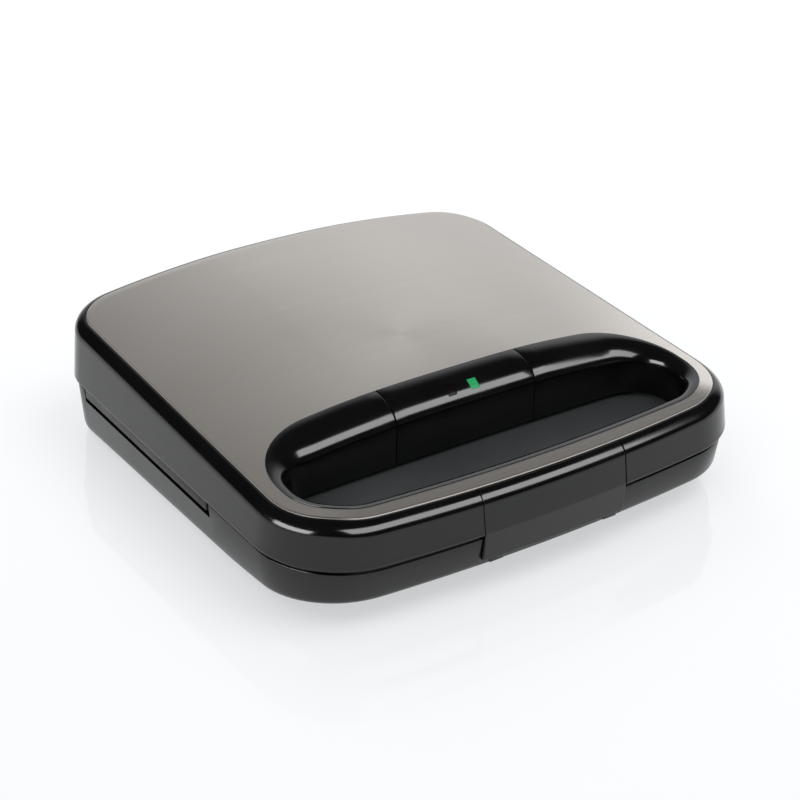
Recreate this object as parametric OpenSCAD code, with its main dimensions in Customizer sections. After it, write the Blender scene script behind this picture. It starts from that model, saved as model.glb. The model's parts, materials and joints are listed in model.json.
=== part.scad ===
// Sandwich toaster: hinged lid with a handle well, two cast plates, front latch clip.
// Frame: origin on the table under the middle of the body, +X right, +Y to the hinge, +Z up.

/* [Body outline] */
// Width of the closed body
body_w = 236; // [224:1:252]
// Depth of the closed body at its middle
body_d = 234; // [230:1:250]
// Radius of the two front corners in plan
corner_front_r = 40.5; // [34:0.5:48]
// Radius of the two back corners in plan
corner_back_r = 28; // [24:0.5:34]
// Bow radius of the front edge in plan
bow_front_r = 815; // [600:5:1200]
// Bow radius of the back edge in plan
bow_back_r = 1560; // [1000:20:2500]
// Wall thickness of the plastic casings
wall_t = 2.4; // [2:0.1:2.8]

/* [Heights] */
// Height of the lid's side edge at the middle of the body
rim_z = 52.8; // [50:0.2:60]
// Slope of the lid's top, down to the front, in degrees
top_slope = 2.9; // [2:0.1:4]
// Rise of the lid's arch above its side edges
arch_h = 8; // [5:0.5:12]
// Lower edge of the lid's outer wall
lid_low_z = 29.2; // [29:0.1:30]
// Gap between the lid's wall and the front of the base
part_gap = 1.2; // [0.8:0.1:1.6]
// Top of the base at the sides, where the dark gap is
side_top_z = 20.4; // [20.2:0.1:20.8]
// Slope of the base's underside, up to the front, in degrees
bottom_slope = 1.6; // [1.2:0.1:2]
// Slope of the underside in front of the kink, in degrees
kick_slope = 5; // [4:0.1:6]
// Height of the base's lower edge at the hinge
bottom_z = 1.8; // [1.6:0.1:2.2]

/* [Metal panel] */
// Width of the black rim around the metal panel
rim_w = 7.2; // [6.4:0.1:8.4]
// Thickness of the metal panel
panel_t = 0.8; // [0.6:0.1:1]

/* [Handle well] */
// Half width of the opening in the metal panel
well_half_w = 104.5; // [98:0.5:105]
// Distance from the panel's front edge to the opening
well_front_gap = 6.6; // [6:0.1:8.5]
// Length of the opening, front to back
well_len = 68; // [64:0.5:69]
// Width of the rounded lip at the front and the ends
lip_w = 6.5; // [5.5:0.1:7.5]
// Width of the slope down from the back of the opening
slope_w = 17; // [15:0.5:18]
// Half width of the centre cover and of the latch clip
cover_half_w = 36.5; // [30:0.1:38]

/* [Heating plates] */
// Width of each plate
plate_w = 210; // [200:1:212]
// Depth of each plate, front to back
plate_d = 118; // [110:1:119]
// Face of the lower plate's rim
plate_face_z = 22.4; // [22.2:0.1:22.6]
// Gap between the two plates' rims when closed
plate_gap = 0.8; // [0.6:0.1:1.2]
// Depth of a sandwich pocket in one plate
pocket_depth = 8.4; // [7:0.1:8.6]
// Thickness of the cast metal
cast_t = 2; // [1.6:0.1:2.2]
// Width of the seam between the two triangles of a pocket
seam_w = 5; // [4:0.5:8]
// Diameter of the tubular heating element
element_dia = 6.4; // [6:0.1:6.6]

/* [Hinge] */
// Height of the hinge axis
hinge_z = 19; // [18.8:0.1:19.2]
// Distance of the hinge axis in from the back of the body
hinge_in = 13; // [12.8:0.1:13.6]
// Radius of the rounded hinge barrel on the base
barrel_r = 10; // [9:0.1:10]
// Diameter of the steel hinge pins
hinge_pin_dia = 5; // [4:0.1:6]

/* [Latch clip] */
// Thickness of the latch clip
clip_t = 2.4; // [2:0.1:2.6]
// Diameter of the clip's pivot pin
clip_pin_dia = 3; // [2.4:0.1:3.2]
// Height of the clip's pivot
clip_pivot_z = 40.2; // [39.8:0.1:40.4]

/* [Feet] */
// Radius of a rubber foot
foot_r = 9; // [7:0.1:10]
// Distance of the feet in from the side of the body
foot_in = 20; // [18:0.5:22]

/* [Indicator] */
// Width of one indicator window
window_w = 4.4; // [3.5:0.1:5]
// Distance of each window from the middle
window_x = 6; // [5:0.1:8]

/* [Fits] */
// Clearance between neighbouring fixed pieces
fit_gap = 0.3; // [0.25:0.05:0.35]
// Radial clearance of a pin in its bore
pin_gap = 0.05; // [0.03:0.01:0.08]

/* [Hidden] */
$fn = 48;
eps = 0.01;
bow_steps = 8;
half_w = body_w / 2;
front_y = -body_d / 2;
back_y = body_d / 2;
big = 400;
// panel and well outlines
panel_front_y = front_y + rim_w;
well_front_y = panel_front_y + well_front_gap;
well_back_y = well_front_y + well_len;
well_in_y0 = well_front_y + lip_w;
well_in_y1 = well_back_y - slope_w;
well_corner_front_r = 27.3;
well_corner_back_r = 32.5;
well_bow_r = 1054;
hole_depth = well_in_y1 - well_in_y0;
hole_corner_front_r = 0.47 * hole_depth;
hole_corner_back_r = 0.4 * hole_depth;
bezel_t = 2.2;
well_low_z = lid_low_z + 0.6;
// lid top surfaces, in the sloped frame of the lid's side edges
arch_half_w = half_w - rim_w;
arch_r = (arch_half_w * arch_half_w + arch_h * arch_h) / (2 * arch_h);
crest_y = 0;
front_drop = arch_h - 0.5;
brow_r = pow(crest_y - panel_front_y, 2) / (2 * front_drop);
rim_lift = 0.2 - panel_t;
// base levels
land_z = lid_low_z - part_gap;
step_y = -33;
shoulder_y = 85.5;
base_in = 1.5;
skirt_in = 1.2;
skirt_low_z = plate_face_z + plate_gap + 0.4;
frame_t = 2.4;
pan_half_w = half_w - 10;
kick_y = -50;
pan_y0 = step_y - 13;
// hinge
hinge_y = back_y - hinge_in;
barrel_front_y = hinge_y - barrel_r;
knuckle_x0 = 80;
knuckle_w = 11;
knuckle_r = 7.4;
knuckle_gap = 0.6;
// plates
plate_y1 = barrel_front_y - 4.5;
plate_y0 = plate_y1 - plate_d;
plate_mid_y = (plate_y0 + plate_y1) / 2;
flange_t = 1.8;
slab_in = 4;
seam_mid_w = 7;
pocket_w = (plate_w - 2 * slab_in - seam_mid_w) / 2 - 3;
pocket_d = plate_d - 2 * slab_in - 6;
pocket_r = 7;
upper_face_z = plate_face_z + plate_gap;
slab_low_z = plate_face_z - pocket_depth - cast_t;
slab_top_z = upper_face_z + pocket_depth + cast_t;
element_r = element_dia / 2;
element_gap = 0.1;
lower_element_z = slab_low_z - element_r - element_gap;
upper_element_z = slab_top_z + element_r + element_gap;
element_half_w = 78;
element_half_d = 38;
element_bend_r = 16;
terminal_x = 9;
boss_x = element_half_w + 10;
boss_dy = element_half_d + 7;
plate_boss_h = 2.4;
tab_t = 1.7;
lower_tab_z = slab_low_z - plate_boss_h - 0.1 - tab_t / 2;
upper_tab_z = plate_face_z + upper_face_z - lower_tab_z;
terminal_y = plate_y0 + 1;
// hinge and back of the lid frame
pin_x1 = knuckle_x0 + knuckle_w + 7;
frame_y1 = barrel_front_y - wall_t - fit_gap;
ear_x0 = plate_w / 2 + 2.5;
ear_top_z = lid_low_z - 0.6;
pan_t = 1.2;
reflector_t = 0.4;
saddle_t = 0.5;
// lid
lid_flare = 1.8;
rim_r = 5.4;
rim_step = 2.2;
well_lift = 0.3;
lip_base_drop = 2.5;
lip_drop_rate = 0.47;
window_y = well_in_y1 + 4.6;
window_d = 4.4;
lamp_board_z = lid_low_z + fit_gap + frame_t + 0.6;
// latch
clip_low_z = 16.5;
clip_pivot_y = front_y + 5.8;
clip_slot_y = panel_front_y + 3;
catch_in = 3.6;
catch_back_in = catch_in + wall_t + 1;
latch_lug_x = 24;
latch_lug_w = 5;
pocket_x = cover_half_w + fit_gap;
hook_x0 = 26;
hook_x1 = 33;
// wiring
inlet_x = 58;
inlet_z = 9.6;
inlet_flange_r = 6;
inlet_r = 4.6;
inlet_len = 12;
block_y = -64;
block_z = underside_z(block_y - 7) + wall_t + 0.2;
wire_r = 1.2;
wire_up = 2.4;
wire_end_y = plate_y0 - 6.5;
// feet and screws
foot_x = half_w - foot_in;
front_foot_y = -58;
rear_foot_x = 84;
rear_foot_y = 76;
stem_r = 3;
screw_x = half_w - 9.4;
base_screw_xy = [[screw_x, 0], [screw_x, 58], [72, front_y + 17]];
lid_screw_xy = [[screw_x, 4], [screw_x, 54]];
screw_r = 1.5;
screw_head_r = 3.2;
screw_head_t = 1.8;
boss_r = 3.9;
frame_boss_h = 4;

// ---------------------------------------------------------------- shared outlines

function arc(cx, cy, r, a0, a1, n) =
    [for (i = [0 : n]) [cx + r * cos(a0 + (a1 - a0) * i / n), cy + r * sin(a0 + (a1 - a0) * i / n)]];

// Rounded rectangle with bowed front and back edges, as one closed list of points.
function bowed(w2, y0, y1, r0, r1, bow0, bow1) =
    let (
        x0 = w2 - r0,
        x1 = w2 - r1,
        yc0 = y0 + bow0,
        yc1 = y1 - bow1,
        cy0 = yc0 - sqrt(pow(bow0 - r0, 2) - x0 * x0),
        cy1 = yc1 + sqrt(pow(bow1 - r1, 2) - x1 * x1),
        a0 = atan2(cy0 - yc0, x0),
        a1 = atan2(cy1 - yc1, x1)
    )
    concat(
        arc(0, yc0, bow0, -180 - a0, a0, bow_steps),
        arc(x0, cy0, r0, a0 * 7 / 8, 0, 7),
        arc(x1, cy1, r1, 0, a1 * 7 / 8, 7),
        arc(0, yc1, bow1, a1, 180 - a1, 6),
        arc(-x1, cy1, r1, 180 - a1 * 7 / 8, 180, 7),
        arc(-x0, cy0, r0, 180, 180 - a0 * 7 / 8, 7)
    );

function body_ring(inset = 0) =
    bowed(half_w - inset, front_y + inset, back_y - inset, corner_front_r - inset,
        corner_back_r - inset, bow_front_r - inset, bow_back_r - inset);

function well_ring(inset = 0) =
    bowed(well_half_w - inset, well_front_y + inset, well_back_y - inset, well_corner_front_r - inset,
        well_corner_back_r - inset, well_bow_r - inset, 3.2 * well_bow_r);

// The well's inner opening, set further in at the back than at the front and the ends.
function hole_ring(grow = 0) =
    bowed(well_half_w - lip_w + grow, well_in_y0 - grow, well_in_y1 + grow,
        hole_corner_front_r + grow, hole_corner_back_r + grow, well_bow_r, 3.2 * well_bow_r);

// The underside rises to the front, more steeply in front of the kink.
function underside_z(y) =
    bottom_z + (back_y - y) * tan(bottom_slope) + max(kick_y - y, 0) * (tan(kick_slope) - tan(bottom_slope));

module body_plan(inset = 0) {
    polygon(body_ring(inset));
}

module well_plan(inset = 0) {
    polygon(well_ring(inset));
}

module well_hole(grow = 0) {
    polygon(hole_ring(grow));
}

// Height of the lid's black rim at a place in plan, following the slope, the arch and the brow.
function top_z(p, lift = 0) =
    let (
        side = arch_h - arch_r + sqrt(pow(arch_r + lift, 2) - p.x * p.x),
        brow = arch_h - brow_r + sqrt(pow(brow_r + lift, 2) - pow(min(p.y - crest_y, 0), 2))
    )
    rim_z + p.y * tan(top_slope) + min(side, brow);

function reverse(list) = [for (i = [len(list) - 1 : -1 : 0]) list[i]];

// A strip without its repeated corner, where it meets the middle line.
function flat_face(q) = [for (i = [0 : 3]) if (q[i] != q[(i + 1) % 4]) q[i]];

// Solid through a stack of rings, lowest first. Each ring is a list of as many 3-D points.
module loft(rings) {
    n = len(rings[0]);
    m = len(rings);
    sides = [
        for (j = [0 : m - 2], i = [0 : n - 1])
            let (k = (i + 1) % n, a = j * n + i, b = j * n + k, c = b + n, d = a + n)
            each [[a, d, c], [a, c, b]]
    ];
    // each cap is a row of strips between mirrored points, so a bent cap is still flat in each strip
    mid = bow_steps / 2;
    half = [for (i = [mid : mid + n / 2 - 1]) [i, i + 1, (2 * mid - i - 1 + n) % n, (2 * mid - i + n) % n]];
    top = (m - 1) * n;
    caps = [for (q = half) each [flat_face(q), [for (k = reverse(flat_face(q))) k + top]]];
    polyhedron(points = [for (r = rings) each r], faces = concat(sides, caps));
}

// Hollow solid: the last ring joins back to the first, and there are no caps.
module ring_loft(rings) {
    n = len(rings[0]);
    m = len(rings);
    sides = [
        for (j = [0 : m - 1], i = [0 : n - 1])
            let (k = (i + 1) % n, t = (j + 1) % m, a = j * n + i, b = j * n + k, c = t * n + k, d = t * n + i)
            each [[a, d, c], [a, c, b]]
    ];
    polyhedron(points = [for (r = rings) each r], faces = sides);
}

function lift_ring(ring, z) = [for (p = ring) [p.x, p.y, z]];

module slab(z0, z1) {
    translate([0, 0, z0]) linear_extrude(z1 - z0) children();
}

module block(x0, x1, y0, y1, z0, z1) {
    translate([x0, y0, z0]) cube([x1 - x0, y1 - y0, z1 - z0]);
}

module mirrored() {
    children();
    mirror([1, 0, 0]) children();
}

module x_rod(r, x0, x1, y, z) {
    translate([x0, y, z]) rotate([0, 90, 0]) cylinder(r = r, h = x1 - x0);
}

// Everything below the lid's arched top, raised by lift. The brow falls only in front of the crest.
module under_top(lift = 0) {
    translate([0, 0, rim_z]) rotate([top_slope, 0, 0]) intersection() {
        translate([0, 0, arch_h - arch_r]) rotate([90, 0, 0])
            cylinder(r = arch_r + lift, h = big, center = true, $fn = 5 * $fn);
        union() {
            translate([0, crest_y, arch_h - brow_r]) rotate([0, 90, 0])
                cylinder(r = brow_r + lift, h = big, center = true, $fn = 5 * $fn);
            translate([-big / 2, crest_y, -big]) cube([big, big, 2 * big]);
        }
    }
}

// Everything above the base's sloped underside, raised by lift.
module over_bottom(lift = 0) {
    translate([-big / 2, 0, 0]) rotate([90, 0, 90]) linear_extrude(big) polygon([
        for (y = [big, kick_y, -big]) [y, underside_z(y) + lift],
        [-big, big],
        [big, big]
    ]);
}

// Screw with its head at the bottom, standing on z = 0 and pointing up.
module pan_head_screw(length) {
    difference() {
        cylinder(r = screw_head_r, h = screw_head_t);
        translate([0, 0, -eps]) cylinder(r = 1.6, h = 1, $fn = 6);
    }
    cylinder(r = screw_r, h = length, $fn = 24);
}

// ---------------------------------------------------------------- base

function edge_ring(inset, lift) = [for (p = body_ring(base_in + inset)) [p.x, p.y, underside_z(p.y) + lift]];

// Drafted outside of the base, with a rounded lower edge, as one solid.
module base_walls() {
    loft([edge_ring(5, 0), edge_ring(2.6, 0.9), edge_ring(1.6, 2.8), edge_ring(1.3, 5),
        lift_ring(body_ring(base_in), hinge_z + barrel_r + 1)]);
}

// Rounded barrel round the hinge axis, with the wall below it.
module hinge_barrel() {
    intersection() {
        base_walls();
        union() {
            x_rod(barrel_r, -half_w, half_w, hinge_y, hinge_z);
            block(-big, big, barrel_front_y, hinge_y + 4, 0, hinge_z);
        }
    }
}

// Raised corners in front of the barrel, where the lid's side strip ends.
module hinge_ears() {
    intersection() {
        base_walls();
        mirrored() block(ear_x0, big, shoulder_y, hinge_y, 0, ear_top_z);
    }
}

module base_envelope() {
    intersection() {
        base_walls();
        union() {
            slab(0, side_top_z) square(big, center = true);
            block(-big, big, -big, step_y, 0, land_z);
        }
        block(-big, big, -big, hinge_y + 4, 0, big);
    }
    hinge_barrel();
    hinge_ears();
}

// Wiring duct inside the barrel, between the two hinge arms.
module barrel_hollow() {
    w = knuckle_x0 - 10;
    x_rod(barrel_r - wall_t, -w, w, hinge_y, hinge_z);
    block(-w, w, barrel_front_y + wall_t, hinge_y + 4 - wall_t, bottom_z + wall_t, hinge_z);
    block(-inlet_x, -inlet_x + 16, barrel_front_y - wall_t - 1, hinge_y, bottom_z + wall_t + 2, hinge_z - 4);
}

// Space that the lid's hinge arm swings through.
module knuckle_slot() {
    x0 = knuckle_x0 - knuckle_gap;
    x1 = knuckle_x0 + knuckle_w + knuckle_gap;
    mirrored() {
        x_rod(knuckle_r + 0.8, x0, x1, hinge_y, hinge_z);
        block(x0, x1, hinge_y - knuckle_r - 0.8, big, hinge_z, big);
        block(x0, x1, hinge_y, big, hinge_z - knuckle_r - 0.8, big);
    }
}

// Room in front of the base for the latch clip.
module catch_recess() {
    difference() {
        block(-cover_half_w - fit_gap, cover_half_w + fit_gap, -big, 0, -1, big);
        slab(-2, big) body_plan(catch_in);
    }
}

// Second wall behind the recess, standing on the base's floor and joined to its outer wall.
module catch_wall() {
    intersection() {
        difference() {
            slab(0, land_z) body_plan(base_in + wall_t + 0.3);
            slab(-1, big) body_plan(catch_back_in);
        }
        block(-cover_half_w - 4, cover_half_w + 4, -big, 0, 0, big);
        over_bottom(1);
    }
}

function boss_top_z(y) = (y < step_y ? land_z : side_top_z) - frame_t - frame_boss_h;

module base_bosses() {
    mirrored() for (p = base_screw_xy)
        translate([p.x, p.y, underside_z(p.y) + 0.5])
            cylinder(r = boss_r + 0.6, h = boss_top_z(p.y) - underside_z(p.y) - 0.5);
}

module base_screw_holes() {
    mirrored() for (p = base_screw_xy) translate([p.x, p.y, 0]) {
        cylinder(r = screw_r + 0.3, h = big, $fn = 24);
        cylinder(r = screw_head_r + 0.3, h = underside_z(p.y) + screw_head_t + 0.6);
    }
}

module foot_stem_holes() {
    mirrored() {
        translate([foot_x, front_foot_y, 0]) cylinder(r = stem_r + 0.1, h = 2 * land_z);
        translate([rear_foot_x, rear_foot_y, 0]) cylinder(r = stem_r + 0.1, h = bottom_z + 2.2);
    }
}

module base_shell() {
    color("#151517") difference() {
        union() {
            difference() {
                base_envelope();
                intersection() {
                    slab(0, big) body_plan(base_in + wall_t + 0.6);
                    over_bottom(wall_t);
                    union() {
                        block(-big, big, -big, barrel_front_y - wall_t, 0, side_top_z + 0.1);
                        block(-big, big, -big, step_y + 1, 0, big);
                        mirrored() block(ear_x0 + wall_t, big, shoulder_y + wall_t, barrel_front_y - wall_t, 0,
                            ear_top_z - wall_t);
                    }
                }
            }
            catch_wall();
            // pan under the plate
            intersection() {
                block(-pan_half_w, pan_half_w, pan_y0, hinge_y + 4, bottom_z, underside_z(pan_y0) + wall_t);
                body_plan_prism(base_in + 8);
            }
            base_bosses();
        }
        block(-pan_half_w + 2, pan_half_w - 2, pan_y0 + 2, barrel_front_y - wall_t, bottom_z + pan_t, big);
        catch_recess();
        barrel_hollow();
        knuckle_slot();
        base_screw_holes();
        foot_stem_holes();
        mirrored() x_rod(hinge_pin_dia / 2 + pin_gap, knuckle_x0 - 8, pin_x1 + 0.5, hinge_y, hinge_z);
        translate([inlet_x, 0, inlet_z]) rotate([-90, 0, 0]) {
            cylinder(r = inlet_r, h = big);
            translate([0, 0, hinge_y + 4]) cylinder(r = inlet_flange_r + 0.3, h = big);
        }
    }
}

module body_plan_prism(inset) {
    slab(-1, big) body_plan(inset);
}

module plate_opening(grow) {
    translate([0, plate_mid_y]) square([plate_w - 2 * slab_in + 2 * grow, plate_d - 2 * slab_in + 2 * grow],
        center = true);
}

// Arms that reach from a frame's opening to the bosses on the back of its plate.
module plate_arms(z_plate, z_tab) {
    edge_x = plate_w / 2 - slab_in + 1;
    z0 = min(z_plate, z_tab);
    z1 = max(z_plate, z_tab);
    for (sx = [-1, 1], sy = [-1, 1]) difference() {
        translate([0, plate_mid_y + sy * boss_dy, 0]) scale([sx, 1, 1]) {
            block(edge_x, edge_x + 3, -5, 5, z0, z1);
            block(boss_x - 5, edge_x + 3, -5, 5, z_tab - tab_t / 2, z_tab + tab_t / 2);
        }
        translate([sx * boss_x, plate_mid_y + sy * boss_dy, 0]) cylinder(r = screw_r + 0.3, h = big, $fn = 24);
    }
}

module base_frame() {
    boss_z = side_top_z - frame_t;
    color("#19191b") difference() {
        union() {
            difference() {
                intersection() {
                    body_plan_prism(base_in + wall_t + 0.6 + fit_gap);
                    union() {
                        block(-big, big, -big, step_y, land_z - frame_t, land_z);
                        block(-big, big, step_y - frame_t, step_y, boss_z, land_z);
                        block(-big, big, step_y - frame_t, frame_y1, boss_z, side_top_z);
                    }
                }
                slab(0, big) plate_opening(1);
                difference() {
                    block(-cover_half_w - 4.3, cover_half_w + 4.3, -big, 0, 0, big);
                    body_plan_prism(catch_back_in + fit_gap);
                }
            }
            mirrored() for (p = base_screw_xy) translate([p.x, p.y, boss_top_z(p.y) + 0.2])
                cylinder(r = boss_r, h = frame_boss_h);
            plate_arms(boss_z + 1, lower_tab_z);
        }
        mirrored() for (p = base_screw_xy) translate([p.x, p.y, 0])
            cylinder(r = screw_r + 0.02, h = boss_top_z(p.y) + frame_boss_h, $fn = 24);
    }
}

// One triangular hollow, drafted and rounded: legs a along X and b along Y from the right angle.
module triangle_hollow(a, b) {
    near_x = atan2(b, a) / 2;
    near_y = atan2(a, b) / 2;
    hull() {
        translate([pocket_r, pocket_r, 0]) hollow_corner();
        translate([a - pocket_r / tan(near_x), pocket_r, 0]) hollow_corner();
        translate([pocket_r, b - pocket_r / tan(near_y), 0]) hollow_corner();
    }
}

module hollow_corner() {
    translate([0, 0, plate_face_z - pocket_depth])
        cylinder(r1 = pocket_r - 4, r2 = pocket_r, h = pocket_depth + eps, $fn = 24);
}

// Cast plate facing up, with two pockets of two triangles and a raised seam between them.
module cast_plate() {
    x0 = seam_mid_w / 2;
    y0 = plate_mid_y - pocket_d / 2;
    cut = seam_w * sqrt(pocket_w * pocket_w + pocket_d * pocket_d) / 2;
    leg_x = pocket_w - cut / pocket_d;
    leg_y = pocket_d - cut / pocket_w;
    difference() {
        union() {
            slab(plate_face_z - flange_t, plate_face_z) rounded_plate(0, 12);
            slab(slab_low_z, plate_face_z - eps) rounded_plate(slab_in, 9);
            for (sx = [-1, 1], sy = [-1, 1])
                translate([sx * boss_x, plate_mid_y + sy * boss_dy, slab_low_z - plate_boss_h])
                    cylinder(r = 4, h = plate_boss_h + 1);
        }
        mirrored() {
            translate([x0, y0, 0]) triangle_hollow(leg_x, leg_y);
            translate([x0 + pocket_w, y0 + pocket_d, 0]) rotate([0, 0, 180]) triangle_hollow(leg_x, leg_y);
        }
        // drain channel round the pockets
        slab(plate_face_z - 0.7, big) difference() {
            rounded_plate(1.4, 10.6);
            rounded_plate(2.6, 9.4);
        }
        for (sx = [-1, 1], sy = [-1, 1])
            translate([sx * boss_x, plate_mid_y + sy * boss_dy, slab_low_z - plate_boss_h - 1])
                cylinder(r = screw_r + 0.02, h = plate_boss_h + 2, $fn = 24);
    }
}

module rounded_plate(inset, r) {
    w = plate_w / 2 - inset - r;
    d = plate_d / 2 - inset - r;
    translate([0, plate_mid_y]) polygon(concat(arc(w, d, r, 0, 90, 6), arc(-w, d, r, 90, 180, 6),
        arc(-w, -d, r, 180, 270, 6), arc(w, -d, r, 270, 360, 6)));
}

// Places things for the upper plate: the lower plate's, mirrored about the plane between the two.
module upper_side() {
    translate([0, 0, plate_face_z + upper_face_z]) mirror([0, 0, 1]) children();
}

module lower_plate() {
    color("#2b2b2d") cast_plate();
}

// Tubular heater: a loop open at the front, with both ends brought forward.
module heater() {
    z = lower_element_z;
    y0 = plate_mid_y - element_half_d;
    y1 = plate_mid_y + element_half_d;
    w = element_half_w;
    r = element_bend_r;
    mirrored() {
        y_rod(element_r, terminal_x, terminal_y, y0 - r, z);
        bend(terminal_x + r, y0 - r, 90, z);
        x_rod(element_r, terminal_x + r, w - r, y0, z);
        bend(w - r, y0 + r, 270, z);
        y_rod(element_r, w, y0 + r, y1 - r, z);
        bend(w - r, y1 - r, 0, z);
        x_rod(element_r, -eps, w - r, y1, z);
        y_rod(1.3, terminal_x, terminal_y - 3, terminal_y + 1, z);
        block(terminal_x - 3.15, terminal_x + 3.15, terminal_y - 9, terminal_y - 2, z - 0.4, z + 0.4);
    }
}

module y_rod(r, x, y0, y1, z) {
    translate([x, y0, z]) rotate([-90, 0, 0]) cylinder(r = r, h = y1 - y0, $fn = 32);
}

// Quarter bend of the heater's tube about (x, y), starting at an angle.
module bend(x, y, from, z) {
    translate([x, y, z]) rotate([0, 0, from]) rotate_extrude(angle = 90)
        translate([element_bend_r, 0]) circle(r = element_r, $fn = 32);
}

module lower_element() {
    color("#8f8c86") heater();
}

// Saddle strap that holds the heater to the plate, for a straight along Y.
module saddle() {
    difference() {
        union() {
            y_rod(element_r + saddle_t, 0, -4, 4, lower_element_z);
            block(-element_r - saddle_t, element_r + saddle_t, -4, 4, lower_element_z, slab_low_z - 0.05);
            block(-9, 9, -4, 4, slab_low_z - 1.05, slab_low_z - 0.05);
        }
        y_rod(element_r + 0.06, 0, -5, 5, lower_element_z);
        block(-element_r - 0.06, element_r + 0.06, -5, 5, lower_element_z, slab_low_z + 1);
        block(-10, 10, -5, 5, slab_low_z - 0.05, slab_low_z + 2);
    }
}

module saddles() {
    y1 = plate_mid_y + element_half_d;
    mirrored() {
        for (dy = [-16, 16]) translate([element_half_w, plate_mid_y + dy, 0]) saddle();
        translate([32, y1, 0]) rotate([0, 0, 90]) saddle();
    }
}

module lower_element_clips() {
    color("#a5a29b") saddles();
}

module lower_reflector() {
    z = bottom_z + pan_t + 0.05;
    color("#c3c2be") block(-pan_half_w + 4, pan_half_w - 4, pan_y0 + 5, barrel_front_y - wall_t - 2, z, z + reflector_t);
}

module plate_screws() {
    for (sx = [-1, 1], sy = [-1, 1])
        translate([sx * boss_x, plate_mid_y + sy * boss_dy, lower_tab_z - tab_t / 2 - screw_head_t])
            pan_head_screw(screw_head_t + tab_t + plate_boss_h);
}

module lower_plate_screws() {
    color("#b5b2aa") plate_screws();
}

module terminal_block() {
    color("#e8e4d8") difference() {
        block(-1.7 * terminal_x, 1.7 * terminal_x, block_y - 7, block_y + 7, block_z, block_z + 8.5);
        for (i = [-1 : 1]) {
            y_rod(wire_r + 0.1, terminal_x * i, block_y - 8, block_y + 8, block_z + wire_up);
            z_rod(1.7, terminal_x * i, block_y + 3, block_z + wire_up + 0.5, block_z + 10);
        }
    }
}

module cord_inlet() {
    color("#101011") translate([inlet_x, hinge_y + 4, inlet_z]) rotate([-90, 0, 0]) difference() {
        union() {
            rotate_extrude() polygon([[0, 0.05], [inlet_flange_r, 0.05], [inlet_flange_r, 1.2], [inlet_flange_r - 1, 2.4],
                [0, 2.4]]);
            translate([0, 0, -inlet_len]) cylinder(r = inlet_r - 0.1, h = inlet_len + 1);
        }
        translate([0, 0, -inlet_len - 1]) cylinder(r = 3.4, h = inlet_len + 8);
    }
}

module base_screws() {
    color("#8e8b84") mirrored() for (p = base_screw_xy) translate([p.x, p.y, underside_z(p.y) + 0.5])
        pan_head_screw(boss_top_z(p.y) + frame_boss_h - underside_z(p.y) - 1);
}

// Rubber foot standing on the table, cut off at the base's underside.
module foot(height) {
    rotate_extrude() polygon([[0, 0.6], [foot_r - 3, 0.6], [foot_r - 2.4, 0], [foot_r - 0.8, 0], [foot_r, 0.8],
        [foot_r - 0.5, height], [0, height]]);
}

module front_feet() {
    color("#0e0e0f") mirrored() {
        difference() {
            translate([foot_x, front_foot_y, 0]) foot(land_z);
            over_bottom(-0.02);
        }
        translate([foot_x, front_foot_y, 2]) cylinder(r = stem_r, h = underside_z(front_foot_y) + 1);
    }
}

module rear_feet() {
    color("#0e0e0f") mirrored() translate([rear_foot_x, rear_foot_y, 0]) {
        foot(bottom_z - 0.02);
        cylinder(r = stem_r, h = bottom_z + pan_t - 0.1);
    }
}

module hinge_pins() {
    color("#c9c8c4") mirrored() x_rod(hinge_pin_dia / 2, knuckle_x0 - 7, pin_x1, hinge_y, hinge_z);
}

// Part of a turn of wire in the YZ plane about (y, z).
module wire_turn(x, y, z, turn_r, from, sweep) {
    translate([x, y, z]) rotate([90, 0, 90]) rotate([0, 0, from]) rotate_extrude(angle = sweep)
        translate([turn_r, 0]) circle(r = wire_r - 0.1, $fn = 24);
}

module z_rod(r, x, y, z0, z1) {
    translate([x, y, z0]) cylinder(r = r, h = z1 - z0, $fn = 24);
}

// Wire from the terminal block, under the frame, with a crimp boot that stands on its tag.
module base_wire(x, tag_z) {
    y_rod(wire_r, x, block_y + 7.1, wire_end_y, block_z + wire_up);
    z_rod(wire_r + 0.25, x, wire_end_y, tag_z, block_z + wire_up + wire_r + 0.1);
}

module base_harness() {
    color("#d8d2c2") {
        mirrored() base_wire(terminal_x, lower_element_z + 0.5);
        base_wire(0, slab_low_z - 0.05);
    }
}

// Earth tag under the front edge of the lower plate.
module earth_tag() {
    y = plate_y0 + slab_in + 4;
    color("#c9a24a") difference() {
        union() {
            translate([0, y, slab_low_z - 0.9]) cylinder(r = 4, h = 0.8);
            block(-3, 3, plate_y0 - 9, y, slab_low_z - 0.9, slab_low_z - 0.1);
        }
        translate([0, y, 0]) cylinder(r = 1.6, h = big, $fn = 24);
    }
}

// ---------------------------------------------------------------- lid

function rim_ring(inset, down) =
    [for (p = body_ring(inset)) [p.x, p.y, top_z(p, rim_lift) - down]];

// Outside of the lid: flared side walls and a rounded rim that follows the arch.
module lid_outside(z0, foot_in = 0) {
    steps = [for (a = [0 : 22.5 : 90]) [lid_flare + rim_r * (1 - cos(a)), rim_r * (1 - sin(a))]];
    intersection() {
        loft(concat([lift_ring(body_ring(foot_in), z0)],
            z0 < lid_low_z ? [lift_ring(body_ring(0), lid_low_z)] : [],
            [for (s = steps) rim_ring(s.x, s.y)],
            [lift_ring(body_ring(lid_flare + rim_r), rim_z + 3 * arch_h)]));
        under_top(rim_lift);
    }
}

module latch_pocket(grow) {
    block(-pocket_x - grow, pocket_x + grow, -big, clip_slot_y + grow, -1, big);
}

module lid_bosses() {
    intersection() {
        mirrored() for (p = lid_screw_xy) translate([p.x, p.y, lid_low_z + 3]) cylinder(r = boss_r, h = big);
        under_top(-2);
    }
}

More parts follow.
